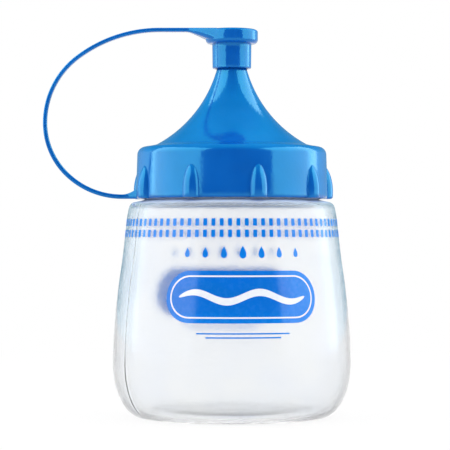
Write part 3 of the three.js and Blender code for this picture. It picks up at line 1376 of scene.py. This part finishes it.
    def drop(self, spread: float, size: float) -> np.ndarray:
        """Gives one drop.

        Args:
            spread: Its place along the wall.
            size: Its half height.

        Returns:
            Loops of points from its middle out to its edge.
        """
        turns = np.linspace(0, 2 * math.pi, self.drop_steps, endpoint=False)
        across = size * self.drop_girth * np.sin(turns) * np.sin(turns / 2) ** self.drop_point
        up = size * (np.cos(turns) + self.drop_lift)
        loops = []
        for share in self.drop_loops:
            loops.append(np.stack([spread - across * share, self.drop_height + up * share], axis=1))
        return np.array(loops)

    def build(
        self, bottle: SqueezeBottle, blue: bpy.types.Material, pale: bpy.types.Material,
    ) -> list[bpy.types.Object]:
        """Prints the design on the front and the back.

        Args:
            bottle: The bottle that carries it.
            blue: The blue ink.
            pale: The pale ink.

        Returns:
            The blue and the pale layer of each side.
        """
        layers = []
        for side in Side:
            name = side.name.lower()
            inked = [self.wrapped("panel", self.panel(), False, bottle, side, False)]
            for number in range(self.drop_count):
                place = number - (self.drop_count - 1) / 2
                size = self.drop_size * (1.0 - self.drop_shrink * abs(place))
                grid = self.drop(place * self.drop_pitch, size)
                inked.append(self.wrapped("drop", grid, True, bottle, side, False))
            for height, share in zip(self.rule_heights, self.rule_shares):
                reach = self.rule_half * share
                spread = np.linspace(-reach, reach, self.rule_columns + 1)
                rule = self.ribbon(spread, np.full_like(spread, height), self.rule_width)
                inked.append(self.wrapped("rule", rule, False, bottle, side, False))
            solid = joined(f"{name}_print_blue", inked)
            dressed(solid, blue)
            light = joined(f"{name}_print_pale", [
                self.wrapped("wave", self.wave(), False, bottle, side, True),
                self.wrapped("border", self.border(), True, bottle, side, True),
            ])
            dressed(light, pale)
            layers += [solid, light]
        return layers


Growth = Callable[[float], dict[str, float]]


@dataclass
class Strap:
    """The thin band from the lid to the tip cap, on four arcs that turn it by half a turn."""

    root_thickness: float = 1.5
    thickness: float = 1.3
    taper_start: float = 22.0
    taper_end: float = 42.0
    width: float = 3.0
    edge: float = 0.42
    chamfer_depth: float = 0.9
    start_x: float = -37.0
    foot_height: float = 73.4
    arcs: tuple[tuple[float, float], ...] = ((26.8, 44.0), (24.2, 45.5), (27.6, 53.5), (46.0, 37.0))
    bends: int = 3
    steps: int = 44
    corner_steps: int = 4

    def length(self) -> float:
        """Gives the length of the arcs."""
        return sum(radius * math.radians(degrees) for radius, degrees in self.arcs)

    def zone(self) -> float:
        """Gives the length of the stretch round each bend."""
        return self.length() / self.bends

    def at(self, way: float) -> tuple[float, float, float]:
        """Follows the middle line.

        Args:
            way: The way from the first arc's start. It is level before the arcs and after them.

        Returns:
            The place's x and z and the heading in radians.
        """
        x, z, heading = self.start_x, self.foot_height + self.root_thickness / 2, math.pi
        if way <= 0:
            return x - way, z, heading
        for radius, degrees in self.arcs:
            step = min(way, radius * math.radians(degrees))
            after = heading - step / radius
            x += radius * (math.sin(heading) - math.sin(after))
            z += radius * (math.cos(after) - math.cos(heading))
            heading = after
            way -= step
            if way <= 0:
                return x, z, heading
        return x + way, z, heading

    def thickness_at(self, way: float) -> float:
        """Gives the thickness, which eases from the root's to that of the rest along the lower run.

        Args:
            way: The place.

        Returns:
            The thickness there.
        """
        share = min(1.0, max(0.0, (way - self.taper_start) / (self.taper_end - self.taper_start)))
        eased = share * share * (3.0 - 2.0 * share)
        return self.root_thickness + (self.thickness - self.root_thickness) * eased

    def section(
        self, way: float, rise: float = 0.0, flare: float = 0.0, chamfer: float = 0.0, drop: float = 0.0,
    ) -> np.ndarray:
        """Gives the rounded section at a place on the strap.

        Args:
            way: The place.
            rise: How much thicker it is on the loop's inner side.
            flare: How much wider it is at each edge.
            chamfer: How much the inner side's corners are cut off across.
            drop: How much thinner it is on the loop's outer side.

        Returns:
            A ring of points.
        """
        x, z, heading = self.at(way)
        inward = np.array([math.sin(heading), 0.0, -math.cos(heading)])
        middle = np.array([x, 0.0, z])
        half = self.width / 2 + flare
        low = drop - self.thickness_at(way) / 2
        high = rise + self.thickness_at(way) / 2
        edge = self.edge
        cut = (edge + chamfer, edge + chamfer * self.chamfer_depth)
        corners = (
            (-half + edge, low + edge, edge, edge, 180.0),
            (half - edge, low + edge, edge, edge, 270.0),
            (half - cut[0], high - cut[1], *cut, 0.0),
            (-half + cut[0], high - cut[1], *cut, 90.0),
        )
        points = []
        for across, depth, wide, tall, first in corners:
            for step in range(self.corner_steps + 1):
                turn = math.radians(first + 90.0 * step / self.corner_steps)
                side = across + wide * math.cos(turn)
                inner = depth + tall * math.sin(turn)
                points.append(middle + inward * inner + np.array([0.0, side, 0.0]))
        return np.array(points)

    def stretch(
        self, name: str, start: float, end: float, steps: int, growth: Growth | None = None,
    ) -> bpy.types.Object:
        """Makes a stretch of the strap.

        Args:
            name: The object's name.
            start: The way where it starts.
            end: The way where it ends.
            steps: The number of steps along it.
            growth: Gives the section's named changes at an x, where it has any.

        Returns:
            The closed mesh object.
        """
        rings = []
        for way in np.linspace(start, end, steps + 1):
            changes = growth(self.at(float(way))[0]) if growth else {}
            rings.append(self.section(float(way), **changes))
        item = lofted(name, rings)
        cleaned(item)
        return item

    def build(self, material: bpy.types.Material) -> list[bpy.types.Object]:
        """Makes the strap between the lid and the cap, one stretch for each bend.

        Args:
            material: The blue plastic.

        Returns:
            The stretches, with their transforms baked into their meshes.
        """
        stands_for = ["strap_link_1", "strap_link_2", None]
        stretches = []
        for number in range(self.bends):
            start, end = number * self.zone(), (number + 1) * self.zone()
            piece = self.stretch(f"strap_stretch_{number + 1}", start, end, self.steps)
            dressed(piece, material)
            ends = []
            for way in (start, end):
                x, z, _ = self.at(way)
                ends.append((x * MM, 0.0, z * MM))
            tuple(ends[0])
            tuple(ends[1])
            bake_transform(piece)
            if stands_for[number]:
                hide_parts(stands_for[number])
            report(piece)
            stretches.append(piece)
        return stretches


@dataclass
class NozzleLid:
    """The screw lid: a ribbed skirt, a nearly flat top and a cone that sweeps up to the nozzle."""

    skirt_bottom: float = 73.4
    skirt_lip: float = 0.8
    skirt_radius: float = 32.3
    skirt_top_radius: float = 31.85
    top_height: float = 90.9
    top_corner: float = 2.7
    bore: float = 30.3
    underside: float = 89.4
    wall: float = 1.5
    cone_foot: float = 91.7
    cone_end: float = 117.2
    sweep_radius: float = 41.5
    sweep_centre: tuple[float, float] = (45.05, 128.22)
    tip_radius: float = 3.2
    tip_height: float = 123.6
    orifice_radius: float = 1.9
    funnel_height: float = 90.2
    throat_end: float = 116.3
    orifice_start: float = 121.5
    flat_end: float = 25.9
    flat_rise: float = 0.62
    flat_curl: float = 1.15
    flat_shares: tuple[float, ...] = (0.2, 0.45, 0.7, 0.9)
    tip_fillet: tuple[tuple[float, float], ...] = ((0.25, 1.4), (0.0, 2.6))
    tip_side: float = 1.2
    tip_edge: float = 0.45
    orifice_edge: float = 0.2
    funnel_radius: float = 23.8
    roof_edge: float = 0.6
    foot_edge: float = 0.3
    bore_span: tuple[float, float] = (88.0, 75.0)
    rib_count: int = 9
    rib_first: float = 15.5 - 90.0
    rib_width: float = 6.0
    rib_sunk_radius: float = 31.65
    rib_foot_radius: float = 34.4
    rib_top_radius: float = 31.95
    rib_arch_foot: float = 76.0
    rib_arch_top: float = 84.2
    rib_lean: float = 1.5
    rib_root: float = 0.7
    rib_point: float = 0.015
    root_end: float = -31.0
    root_rise: float = 2.8
    root_flare: float = 2.2
    root_steps: int = 20
    segments: int = 288
    lip_steps: int = 5
    side_steps: int = 11
    corner_steps: int = 12
    sweep_steps: int = 44
    tip_steps: int = 4
    throat_steps: int = 28
    bore_steps: int = 7
    thread: Thread = field(default_factory=Thread)

    def sweep_degrees(self, radius: float, height: float) -> float:
        """Gives the angle at which a sweep of a radius reaches a height."""
        return 180.0 + math.degrees(math.asin((self.sweep_centre[1] - height) / radius))

    def outline(self) -> Profile:
        """Gives the shell's closed outline.

        Returns:
            The points up the outside, round the nozzle's tip and down the inside.
        """
        lip = self.skirt_lip
        sweep = self.sweep_radius
        inner = sweep + self.wall
        corner = (self.skirt_top_radius - self.top_corner, self.top_height - self.top_corner)
        side_low = self.skirt_bottom + lip
        heights = np.linspace(side_low, corner[1], self.side_steps + 1)[1:-1]
        slope = (self.skirt_radius - self.skirt_top_radius) / (corner[1] - side_low)
        cone = [self.sweep_degrees(sweep, height) for height in (self.cone_foot, self.cone_end)]
        throat = [self.sweep_degrees(inner, height) for height in (self.throat_end, self.funnel_height)]
        tip, edge, orifice = self.tip_edge, self.roof_edge, self.orifice_edge
        bore = np.linspace(*self.bore_span, self.bore_steps + 1)
        return [
            (self.bore + self.foot_edge, self.skirt_bottom),
            *arc_points((self.skirt_radius - lip, side_low), (lip, lip), -90, 0, self.lip_steps),
            *[(self.skirt_radius - slope * (height - side_low), float(height)) for height in heights],
            *arc_points(corner, (self.top_corner, self.top_corner), 0, 90, self.corner_steps),
            *[(corner[0] + (self.flat_end - corner[0]) * share,
               self.top_height + self.flat_rise * share ** self.flat_curl) for share in self.flat_shares],
            *arc_points(self.sweep_centre, (sweep, sweep), *cone, self.sweep_steps),
            *[(self.tip_radius + step, self.cone_end + rise) for step, rise in self.tip_fillet],
            (self.tip_radius, self.tip_height - self.tip_side),
            *arc_points((self.tip_radius - tip, self.tip_height - tip), (tip, tip), 0, 90, self.tip_steps),
            (self.orifice_radius + orifice, self.tip_height),
            (self.orifice_radius, self.tip_height - orifice), (self.orifice_radius, self.orifice_start),
            *arc_points(self.sweep_centre, (inner, inner), *throat, self.throat_steps),
            (self.funnel_radius, self.underside), (self.bore - edge, self.underside),
            (self.bore - edge / 4, self.underside - edge / 4), (self.bore, self.underside - edge),
            *[(self.bore, float(height)) for height in bore],
            (self.bore, self.skirt_bottom + self.foot_edge),
        ]

    def rib(self) -> bpy.types.Object:
        """Makes one grip rib on the +X side, which leans back to the skirt and narrows to an arch.

        Returns:
            The rib, sunk in the skirt.
        """
        arch_steps, around_steps = 28, 22
        root = self.bore + self.rib_root
        places = []
        for turn in np.radians(np.linspace(0, 90, self.lip_steps + 1)):
            height = self.skirt_bottom + self.skirt_lip * (1.0 - math.cos(turn))
            places.append((height, 1.0, self.skirt_lip * (1.0 - math.sin(turn))))
        for turn in np.radians(np.linspace(0, 90, arch_steps + 1)):
            height = self.rib_arch_foot + (self.rib_arch_top - self.rib_arch_foot) * math.sin(turn)
            places.append((height, max(self.rib_point, math.cos(turn)), 0.0))
        rings = []
        for height, share, cut in places:
            half = self.rib_width / 2 * share
            lean = share ** self.rib_lean
            crest = self.rib_top_radius + (self.rib_foot_radius - self.rib_top_radius) * lean - cut
            reach = crest - self.rib_sunk_radius
            ring = [(root, half, height), (root, -half, height)]
            for turn in np.radians(np.linspace(-90, 90, around_steps + 1)):
                outward = self.rib_sunk_radius + reach * math.cos(turn)
                ring.append((outward, half * math.sin(turn), height))
            rings.append(np.array(ring))
        item = lofted("grip_rib", rings)
        cleaned(item)
        return item

    def ribs(self, material: bpy.types.Material) -> bpy.types.Object:
        """Sets the ribs round the skirt with geometry nodes.

        Args:
            material: The blue plastic.

        Returns:
            All the ribs in one mesh.
        """
        rib = self.rib()
        recipe = Recipe("rib_ring", {"Count": self.rib_count, "First Turn": math.radians(self.rib_first)})
        tree, size = recipe.tree, recipe.size
        source = add_node(tree, "GeometryNodeObjectInfo", {"Object": rib}, transform_space="ORIGINAL")
        points = add_node(tree, "GeometryNodePoints", {"Count": size("Count")})
        number = add_node(tree, "GeometryNodeInputIndex").outputs["Index"]
        pitch = add_node(tree, "ShaderNodeMath", {0: 2 * math.pi, 1: size("Count")}, operation="DIVIDE")
        turn = add_node(tree, "ShaderNodeMath", {
            0: number, 1: pitch.outputs[0], 2: size("First Turn"),
        }, operation="MULTIPLY_ADD")
        many = add_node(tree, "GeometryNodeInstanceOnPoints", {
            "Points": points.outputs["Points"], "Instance": source.outputs["Geometry"],
            "Rotation": add_node(tree, "ShaderNodeCombineXYZ", {"Z": turn.outputs[0]}).outputs[0],
        })
        recipe.close(many.outputs["Instances"], material)
        ring = recipe.grow("grip_ribs")
        bpy.data.objects.remove(rib, do_unlink=True)
        return ring

    def root(self, strap: Strap) -> bpy.types.Object:
        """Makes the strap's root, which thickens and widens into the skirt's foot.

        Args:
            strap: The strap.

        Returns:
            The root, whose inner end is sunk in the skirt.
        """
        span = self.root_end - strap.start_x

        def growth(x: float) -> dict[str, float]:
            """Gives the section's changes at an x."""
            share = min(1.0, max(0.0, (x - strap.start_x) / span)) ** 2
            return {"rise": self.root_rise * share, "flare": self.root_flare * share}

        return strap.stretch("strap_root", -span, 0.0, self.root_steps, growth)

    def build(self, strap: Strap, material: bpy.types.Material) -> bpy.types.Object:
        """Makes the lid in one mesh.

        Args:
            strap: The strap whose root it carries.
            material: The blue plastic.

        Returns:
            The finished object.
        """
        shell = Lathe(self.segments).turned("lid_shell", self.outline())
        thread = self.thread
        start = thread.start + thread.pitch / 2
        ridge = thread.ridge("lid_thread", self.bore, -thread.lid_depth, start, material)
        cleaned(ridge)
        lid = united("nozzle_lid_moulding", [shell, self.ribs(material), ridge, self.root(strap)])
        dressed(lid, material)
        return lid


@dataclass
class TipCap:
    """The cap on the nozzle's tip: a round socket under a wider disc, with the strap's gusset.

    The fillets, rounds and the like give steps out and up from a corner.
    """

    mouth: float = 117.3
    mouth_radius: float = 6.5
    mouth_edge: float = 0.4
    barrel_radius: float = 6.6
    disc_radius: float = 8.77
    disc_bottom: float = 125.7
    disc_top: float = 130.55
    lower_edge: tuple[float, float] = (1.1, 1.4)
    upper_edge: tuple[float, float] = (1.6, 0.9)
    disc_fillet: tuple[tuple[float, float], ...] = ((0.08, -0.08), (0.3, 0.0))
    top_dish: tuple[tuple[float, float], ...] = ((-1.5, 0.0), (-4.0, -0.02))
    dish_depth: float = 0.04
    mouth_bore: float = 5.55
    mouth_flare: tuple[tuple[float, float], ...] = ((-0.1, 1.6), (0.0, 0.3), (0.2, 0.0))
    end_bore: float = 4.9
    end_round: tuple[tuple[float, float], ...] = ((-0.5, 0.0), (-0.12, -0.12), (0.0, -0.5))
    socket_top: float = 128.6
    gusset_start: float = -14.4
    gusset_end: float = -5.0
    gusset_blend: float = 1.2
    gusset_rise: float = 4.0
    gusset_flare: float = 5.6
    gusset_drop: float = 0.55
    gusset_chamfer: float = 1.1
    chamfer_speed: float = 2.5
    gusset_steps: int = 44
    segments: int = 144
    mouth_steps: int = 5
    barrel_steps: int = 7
    lower_steps: int = 8
    upper_steps: int = 10

    def outline(self) -> Profile:
        """Gives the cap's outline.

        Returns:
            The points from the socket's end in the middle down the socket, then up the outside to the top.
        """
        foot = (self.mouth_radius - self.mouth_edge, self.mouth + self.mouth_edge)
        low, high = self.lower_edge, self.upper_edge
        draft = (self.barrel_radius - self.mouth_radius) / (self.disc_bottom - foot[1])
        barrel_end = self.disc_bottom - self.disc_fillet[-1][0]
        barrel = np.linspace(foot[1], barrel_end, self.barrel_steps + 1)[1:]
        flat = self.disc_radius - high[0]
        side = (self.disc_radius - low[0], self.disc_bottom + low[1])
        return [
            (0.0, self.socket_top),
            *[(self.end_bore + step, self.socket_top + rise) for step, rise in self.end_round],
            *[(self.mouth_bore + step, self.mouth + rise) for step, rise in self.mouth_flare],
            *arc_points(foot, (self.mouth_edge, self.mouth_edge), -90, 0, self.mouth_steps),
            *[(self.mouth_radius + draft * (height - foot[1]), float(height)) for height in barrel],
            *[(self.barrel_radius + step, self.disc_bottom + rise) for step, rise in self.disc_fillet],
            *arc_points(side, low, -90, 0, self.lower_steps),
            (self.disc_radius, (self.disc_bottom + low[1] + self.disc_top - high[1]) / 2),
            *arc_points((flat, self.disc_top - high[1]), high, 0, 90, self.upper_steps),
            *[(flat + step, self.disc_top + rise) for step, rise in self.top_dish],
            (0.0, self.disc_top - self.dish_depth),
        ]

    def gusset_share(self, x: float) -> float:
        """Gives how far the gusset has grown, with a soft start.

        Args:
            x: The place.

        Returns:
            A share that is zero before the gusset and one at its end.
        """
        past = x - self.gusset_start
        soft = self.gusset_blend
        if past <= -soft:
            return 0.0
        grown = (past + soft) ** 2 / (4 * soft) if past < soft else past
        return grown / (self.gusset_end - self.gusset_start)

    def gusset(self, x: float) -> dict[str, float]:
        """Gives the changes of the strap's section along the gusset.

        Args:
            x: The place.

        Returns:
            The named changes.
        """
        share = self.gusset_share(x)
        return {
            "rise": self.gusset_rise * share, "flare": self.gusset_flare * share,
            "chamfer": self.gusset_chamfer * min(1.0, share * self.chamfer_speed),
            "drop": self.gusset_drop * share,
        }

    def tail(self, strap: Strap) -> bpy.types.Object:
        """Makes the strap's end, which widens and deepens into a gusset that meets the disc.

        Args:
            strap: The strap.

        Returns:
            The end, sunk in the disc.
        """
        start = strap.length()
        end = start + self.gusset_end - strap.at(start)[0]
        return strap.stretch("strap_tail", start, end, self.gusset_steps, self.gusset)

    def build(self, strap: Strap, material: bpy.types.Material) -> bpy.types.Object:
        """Makes the cap in one mesh.

        Args:
            strap: The strap whose end it carries.
            material: The blue plastic.

        Returns:
            The finished object.
        """
        shell = Lathe(self.segments).turned("cap_shell", self.outline())
        cleaned(shell)
        cap = united("tip_cap_moulding", [shell, self.tail(strap)])
        dressed(cap, material)
        return cap


@dataclass
class SealRing:
    """The soft flat ring under the lid."""

    inner: float = 26.9
    outer: float = 29.8
    bottom: float = 88.3
    top: float = 89.1
    soft: float = 0.15
    segments: int = 144

    def build(self, material: bpy.types.Material) -> bpy.types.Object:
        """Makes the ring.

        Args:
            material: The foam.

        Returns:
            The finished object.
        """
        soft = self.soft
        outline = [
            (self.inner + soft, self.bottom), (self.outer - soft, self.bottom),
            (self.outer, self.bottom + soft), (self.outer, self.top - soft),
            (self.outer - soft, self.top), (self.inner + soft, self.top),
            (self.inner, self.top - soft), (self.inner, self.bottom + soft),
        ]
        ring = Lathe(self.segments).turned("foam_seal_ring", outline)
        dressed(ring, material)
        return ring


@dataclass
class Studio:
    """The set: white paper, a white surround, two tall soft boxes with gloss cards, a top light, the camera.

    The soft boxes light the bottle, and only the cards before them show in its gloss. The top light's place
    and size are metres.
    """

    eye: tuple[float, float, float] = (-2.3, -725.0, 59.6)
    aim_height: float = 64.6
    view_degrees: float = 11.95
    clip_metres: tuple[float, float] = (0.01, 50.0)
    floor_half: float = 6000.0
    ambient: float = 0.84
    front_gap: float = 0.1
    side_gloss: float = 3.0
    back_gloss: float = 0.5
    sky_gloss: float = 1.45
    sky_back_gloss: float = 0.2
    sky_span: tuple[float, float] = (0.1, 0.55)
    gap_span: tuple[float, float] = (0.2, 0.37)
    side_back_span: tuple[float, float] = (0.37, 1.0)
    sky_gap_span: tuple[float, float] = (-0.9, -0.4)
    sky_back_span: tuple[float, float] = (0.5, 1.0)
    gloss_colour: str = "#E6F0FF"
    side_colour: str = "#A0E0FF"
    sky_colour: str = "#48E4FF"
    box_distance: float = 900.0
    card_distance: float = 860.0
    box_size: tuple[float, float] = (1400.0, 1300.0)
    box_radiance: float = 0.7
    gloss_radiance: float = 3.0
    left_box: float = 196.0
    right_box: float = -4.0
    box_foot: float = 90.0
    box_rise: float = 0.2
    box_aim: float = 80.0
    top_place: tuple[float, float, float] = (0.0, 0.1, 1.3)
    top_size: tuple[float, float] = (1.2, 1.0)
    top_watts: float = 6.0

    def build(self) -> None:
        """Sets up the whole set."""
        self.camera()
        self.floor()
        self.world()
        for name, azimuth in (("left", self.left_box), ("right", self.right_box)):
            box = self.box(f"{name}_soft_box", azimuth, self.box_distance, self.box_radiance)
            box.visible_glossy = False
            card = self.box(f"{name}_gloss_card", azimuth, self.card_distance, self.gloss_radiance)
            card.data.color = linear(self.gloss_colour)[:3]
            card.visible_diffuse = False
            card.visible_transmission = False
            card.visible_camera = False
        self.top_light().visible_glossy = False
        bpy.context.scene.view_settings.view_transform = "Standard"

    def camera(self) -> None:
        """Places the camera at the photograph's eye point, aimed at its middle."""
        lens = bpy.data.cameras.new("camera")
        lens.sensor_fit = "HORIZONTAL"
        lens.angle = math.radians(self.view_degrees)
        lens.clip_start, lens.clip_end = self.clip_metres
        view = linked("camera", lens)
        place = Vector(self.eye) * MM
        aim = Vector((self.eye[0], 0.0, self.aim_height)) * MM
        self.aimed(view, place, aim)
        bpy.context.scene.camera = view

    @staticmethod
    def aimed(item: bpy.types.Object, place: Vector, aim: Vector) -> None:
        """Puts a camera or a lamp at a place and turns it to face another."""
        item.location = place
        item.rotation_euler = (aim - place).to_track_quat("-Z", "Y").to_euler()

    def floor(self) -> None:
        """Lays the paper."""
        half = self.floor_half
        points = np.array([(-half, -half, 0.0), (half, -half, 0.0), (half, half, 0.0), (-half, half, 0.0)])
        paper = mesh_object("paper_floor", points, [[0, 1, 2, 3]])
        paper.data.materials.append(PaperSweep().material())
        paper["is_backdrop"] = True

    def world(self) -> None:
        """Makes the surround: white where it is seen, with a dim gap behind the camera for gloss."""
        world = bpy.data.worlds.new("white_surround")
        world.use_nodes = True
        tree = world.node_tree
        tree.nodes.clear()
        way = add_node(tree, "ShaderNodeTexCoord").outputs["Generated"]
        parts = add_node(tree, "ShaderNodeSeparateXYZ", {"Vector": way})
        back = parts.outputs["Y"]
        level = add_node(tree, "ShaderNodeMapRange", {
            "Value": parts.outputs["Z"], "From Min": self.sky_span[0], "From Max": self.sky_span[1],
            "To Min": 1.0, "To Max": 0.0,
        }).outputs["Result"]
        side_levels = (self.front_gap, self.side_gloss, self.back_gloss)
        sky_levels = (self.front_gap, self.sky_gloss, self.sky_back_gloss)
        around = self.gapped(tree, back, side_levels, self.gap_span, self.side_back_span)
        above = self.gapped(tree, back, sky_levels, self.sky_gap_span, self.sky_back_span)
        gloss = add_node(tree, "ShaderNodeMix", {
            0: level, MIX_FIRST: above, MIX_SECOND: around,
        }, data_type="RGBA").outputs[MIX_RESULT]
        tint = add_node(tree, "ShaderNodeMix", {
            0: level, MIX_FIRST: linear(self.sky_colour), MIX_SECOND: linear(self.side_colour),
        }, data_type="RGBA").outputs[MIX_RESULT]
        toned = add_node(tree, "ShaderNodeVectorMath", {0: gloss, 1: tint}, operation="MULTIPLY")
        path = add_node(tree, "ShaderNodeLightPath")
        mirrored = add_node(tree, "ShaderNodeMath", {
            0: path.outputs["Is Glossy Ray"], 1: path.outputs["Is Transmission Ray"],
        }, operation="SUBTRACT", use_clamp=True)
        colour = add_node(tree, "ShaderNodeMix", {
            0: mirrored.outputs[0], MIX_FIRST: WHITE, MIX_SECOND: toned.outputs["Vector"],
        }, data_type="RGBA").outputs[MIX_RESULT]
        shown = add_node(tree, "ShaderNodeBackground", {"Color": colour, "Strength": 1.0})
        fill = add_node(tree, "ShaderNodeBackground", {"Color": WHITE, "Strength": self.ambient})
        mix = add_node(tree, "ShaderNodeMixShader", {
            0: seen_ray(tree), 1: fill.outputs["Background"], 2: shown.outputs["Background"],
        })
        add_node(tree, "ShaderNodeOutputWorld", {"Surface": mix.outputs["Shader"]})
        bpy.context.scene.world = world

    @staticmethod
    def gapped(
        tree: bpy.types.NodeTree, back: bpy.types.NodeSocket, levels: tuple[float, float, float],
        rise: tuple[float, float], fall: tuple[float, float],
    ) -> bpy.types.NodeSocket:
        """Gives the surround's brightness in gloss, from the dim gap behind the camera to the back.

        Args:
            tree: The world's tree.
            back: How far back a direction points, from -1 to 1.
            levels: The brightness in the gap, past it and at the back.
            rise: Where it grows from the gap's.
            fall: Where it changes to the back's.

        Returns:
            The brightness's socket.
        """
        ends = []
        for (low, high), (start, end) in zip((levels[:2], levels[1:]), (rise, fall)):
            ends.append(add_node(tree, "ShaderNodeMapRange", {
                "Value": back, "From Min": start, "From Max": end, "To Min": low, "To Max": high,
            }).outputs["Result"])
        return add_node(tree, "ShaderNodeMath", {0: ends[0], 1: ends[1]}, operation="MINIMUM").outputs[0]

    def box(self, name: str, azimuth: float, distance: float, radiance: float) -> bpy.types.Object:
        """Hangs a tall soft box that faces the bottle.

        Args:
            name: The lamp's name.
            azimuth: Where it stands, in degrees from +X.
            distance: How far from the bottle's axis it stands.
            radiance: How bright its face is, where one is white.

        Returns:
            The lamp.
        """
        width, height = (side * MM for side in self.box_size)
        holder = self.area_light(name, (width, height), radiance * math.pi * width * height)
        turn = math.radians(azimuth)
        out = distance * MM
        up = self.box_foot * MM + height * self.box_rise
        place = Vector((out * math.cos(turn), out * math.sin(turn), up))
        aim = Vector((0.0, 0.0, self.box_aim * MM))
        self.aimed(holder, place, aim)
        return holder

    @staticmethod
    def area_light(name: str, size: tuple[float, float], watts: float) -> bpy.types.Object:
        """Makes a flat light.

        Args:
            name: The lamp's name.
            size: Its width and height in metres.
            watts: Its power.

        Returns:
            The lamp, at the origin.
        """
        lamp = bpy.data.lights.new(name, "AREA")
        lamp.shape = "RECTANGLE"
        lamp.size, lamp.size_y = size
        lamp.energy = watts
        return linked(name, lamp)

    def top_light(self) -> bpy.types.Object:
        """Hangs the wide light over the bottle.

        Returns:
            The lamp.
        """
        holder = self.area_light("top_light", self.top_size, self.top_watts)
        holder.location = self.top_place
        return holder


def write_sizes() -> None:
    """Turns the CAD model's box and the dressed model's box into lists of numbers, and keeps neither."""
    for name, box in (("cad", CAD_BOUNDS), ("visual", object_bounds())):
        [[float(value) for value in corner] for corner in box]


def main() -> None:
    """Builds the set and every piece, and reports each one."""
    logging.basicConfig(level=logging.INFO, format="%(message)s")
    Studio().build()
    blue = MouldedBlue().material()
    frosted = BlownFrosted().material()
    ink = ScreenInk("cured_blue_ink", "#048EF8", "#169AFC").material()
    pale_ink = ScreenInk("cured_pale_ink", "#F4F8FD", "#E6EEF9", clear=0.1).material()

    bottle = SqueezeBottle()
    placed(bottle.build(frosted), Body.BOTTLE, Slot.FROSTED, "bottle")
    for ring in DashBand().build(bottle, ink):
        placed(ring, Body.BOTTLE, Slot.FROSTED)
    for layer in PrintedPanel().build(bottle, ink, pale_ink):
        placed(layer, Body.BOTTLE, Slot.FROSTED)

    placed(SealRing().build(SealFoam().material()), Body.SEAL, Slot.FOAM, "seal_ring")
    strap = Strap()
    placed(NozzleLid().build(strap, blue), Body.LID, Slot.BLUE, "nozzle_lid")
    strap.build(blue)
    placed(TipCap().build(strap, blue), Body.CAP, Slot.BLUE, "tip_cap")
    write_sizes()


if __name__ == "__main__":
    main()
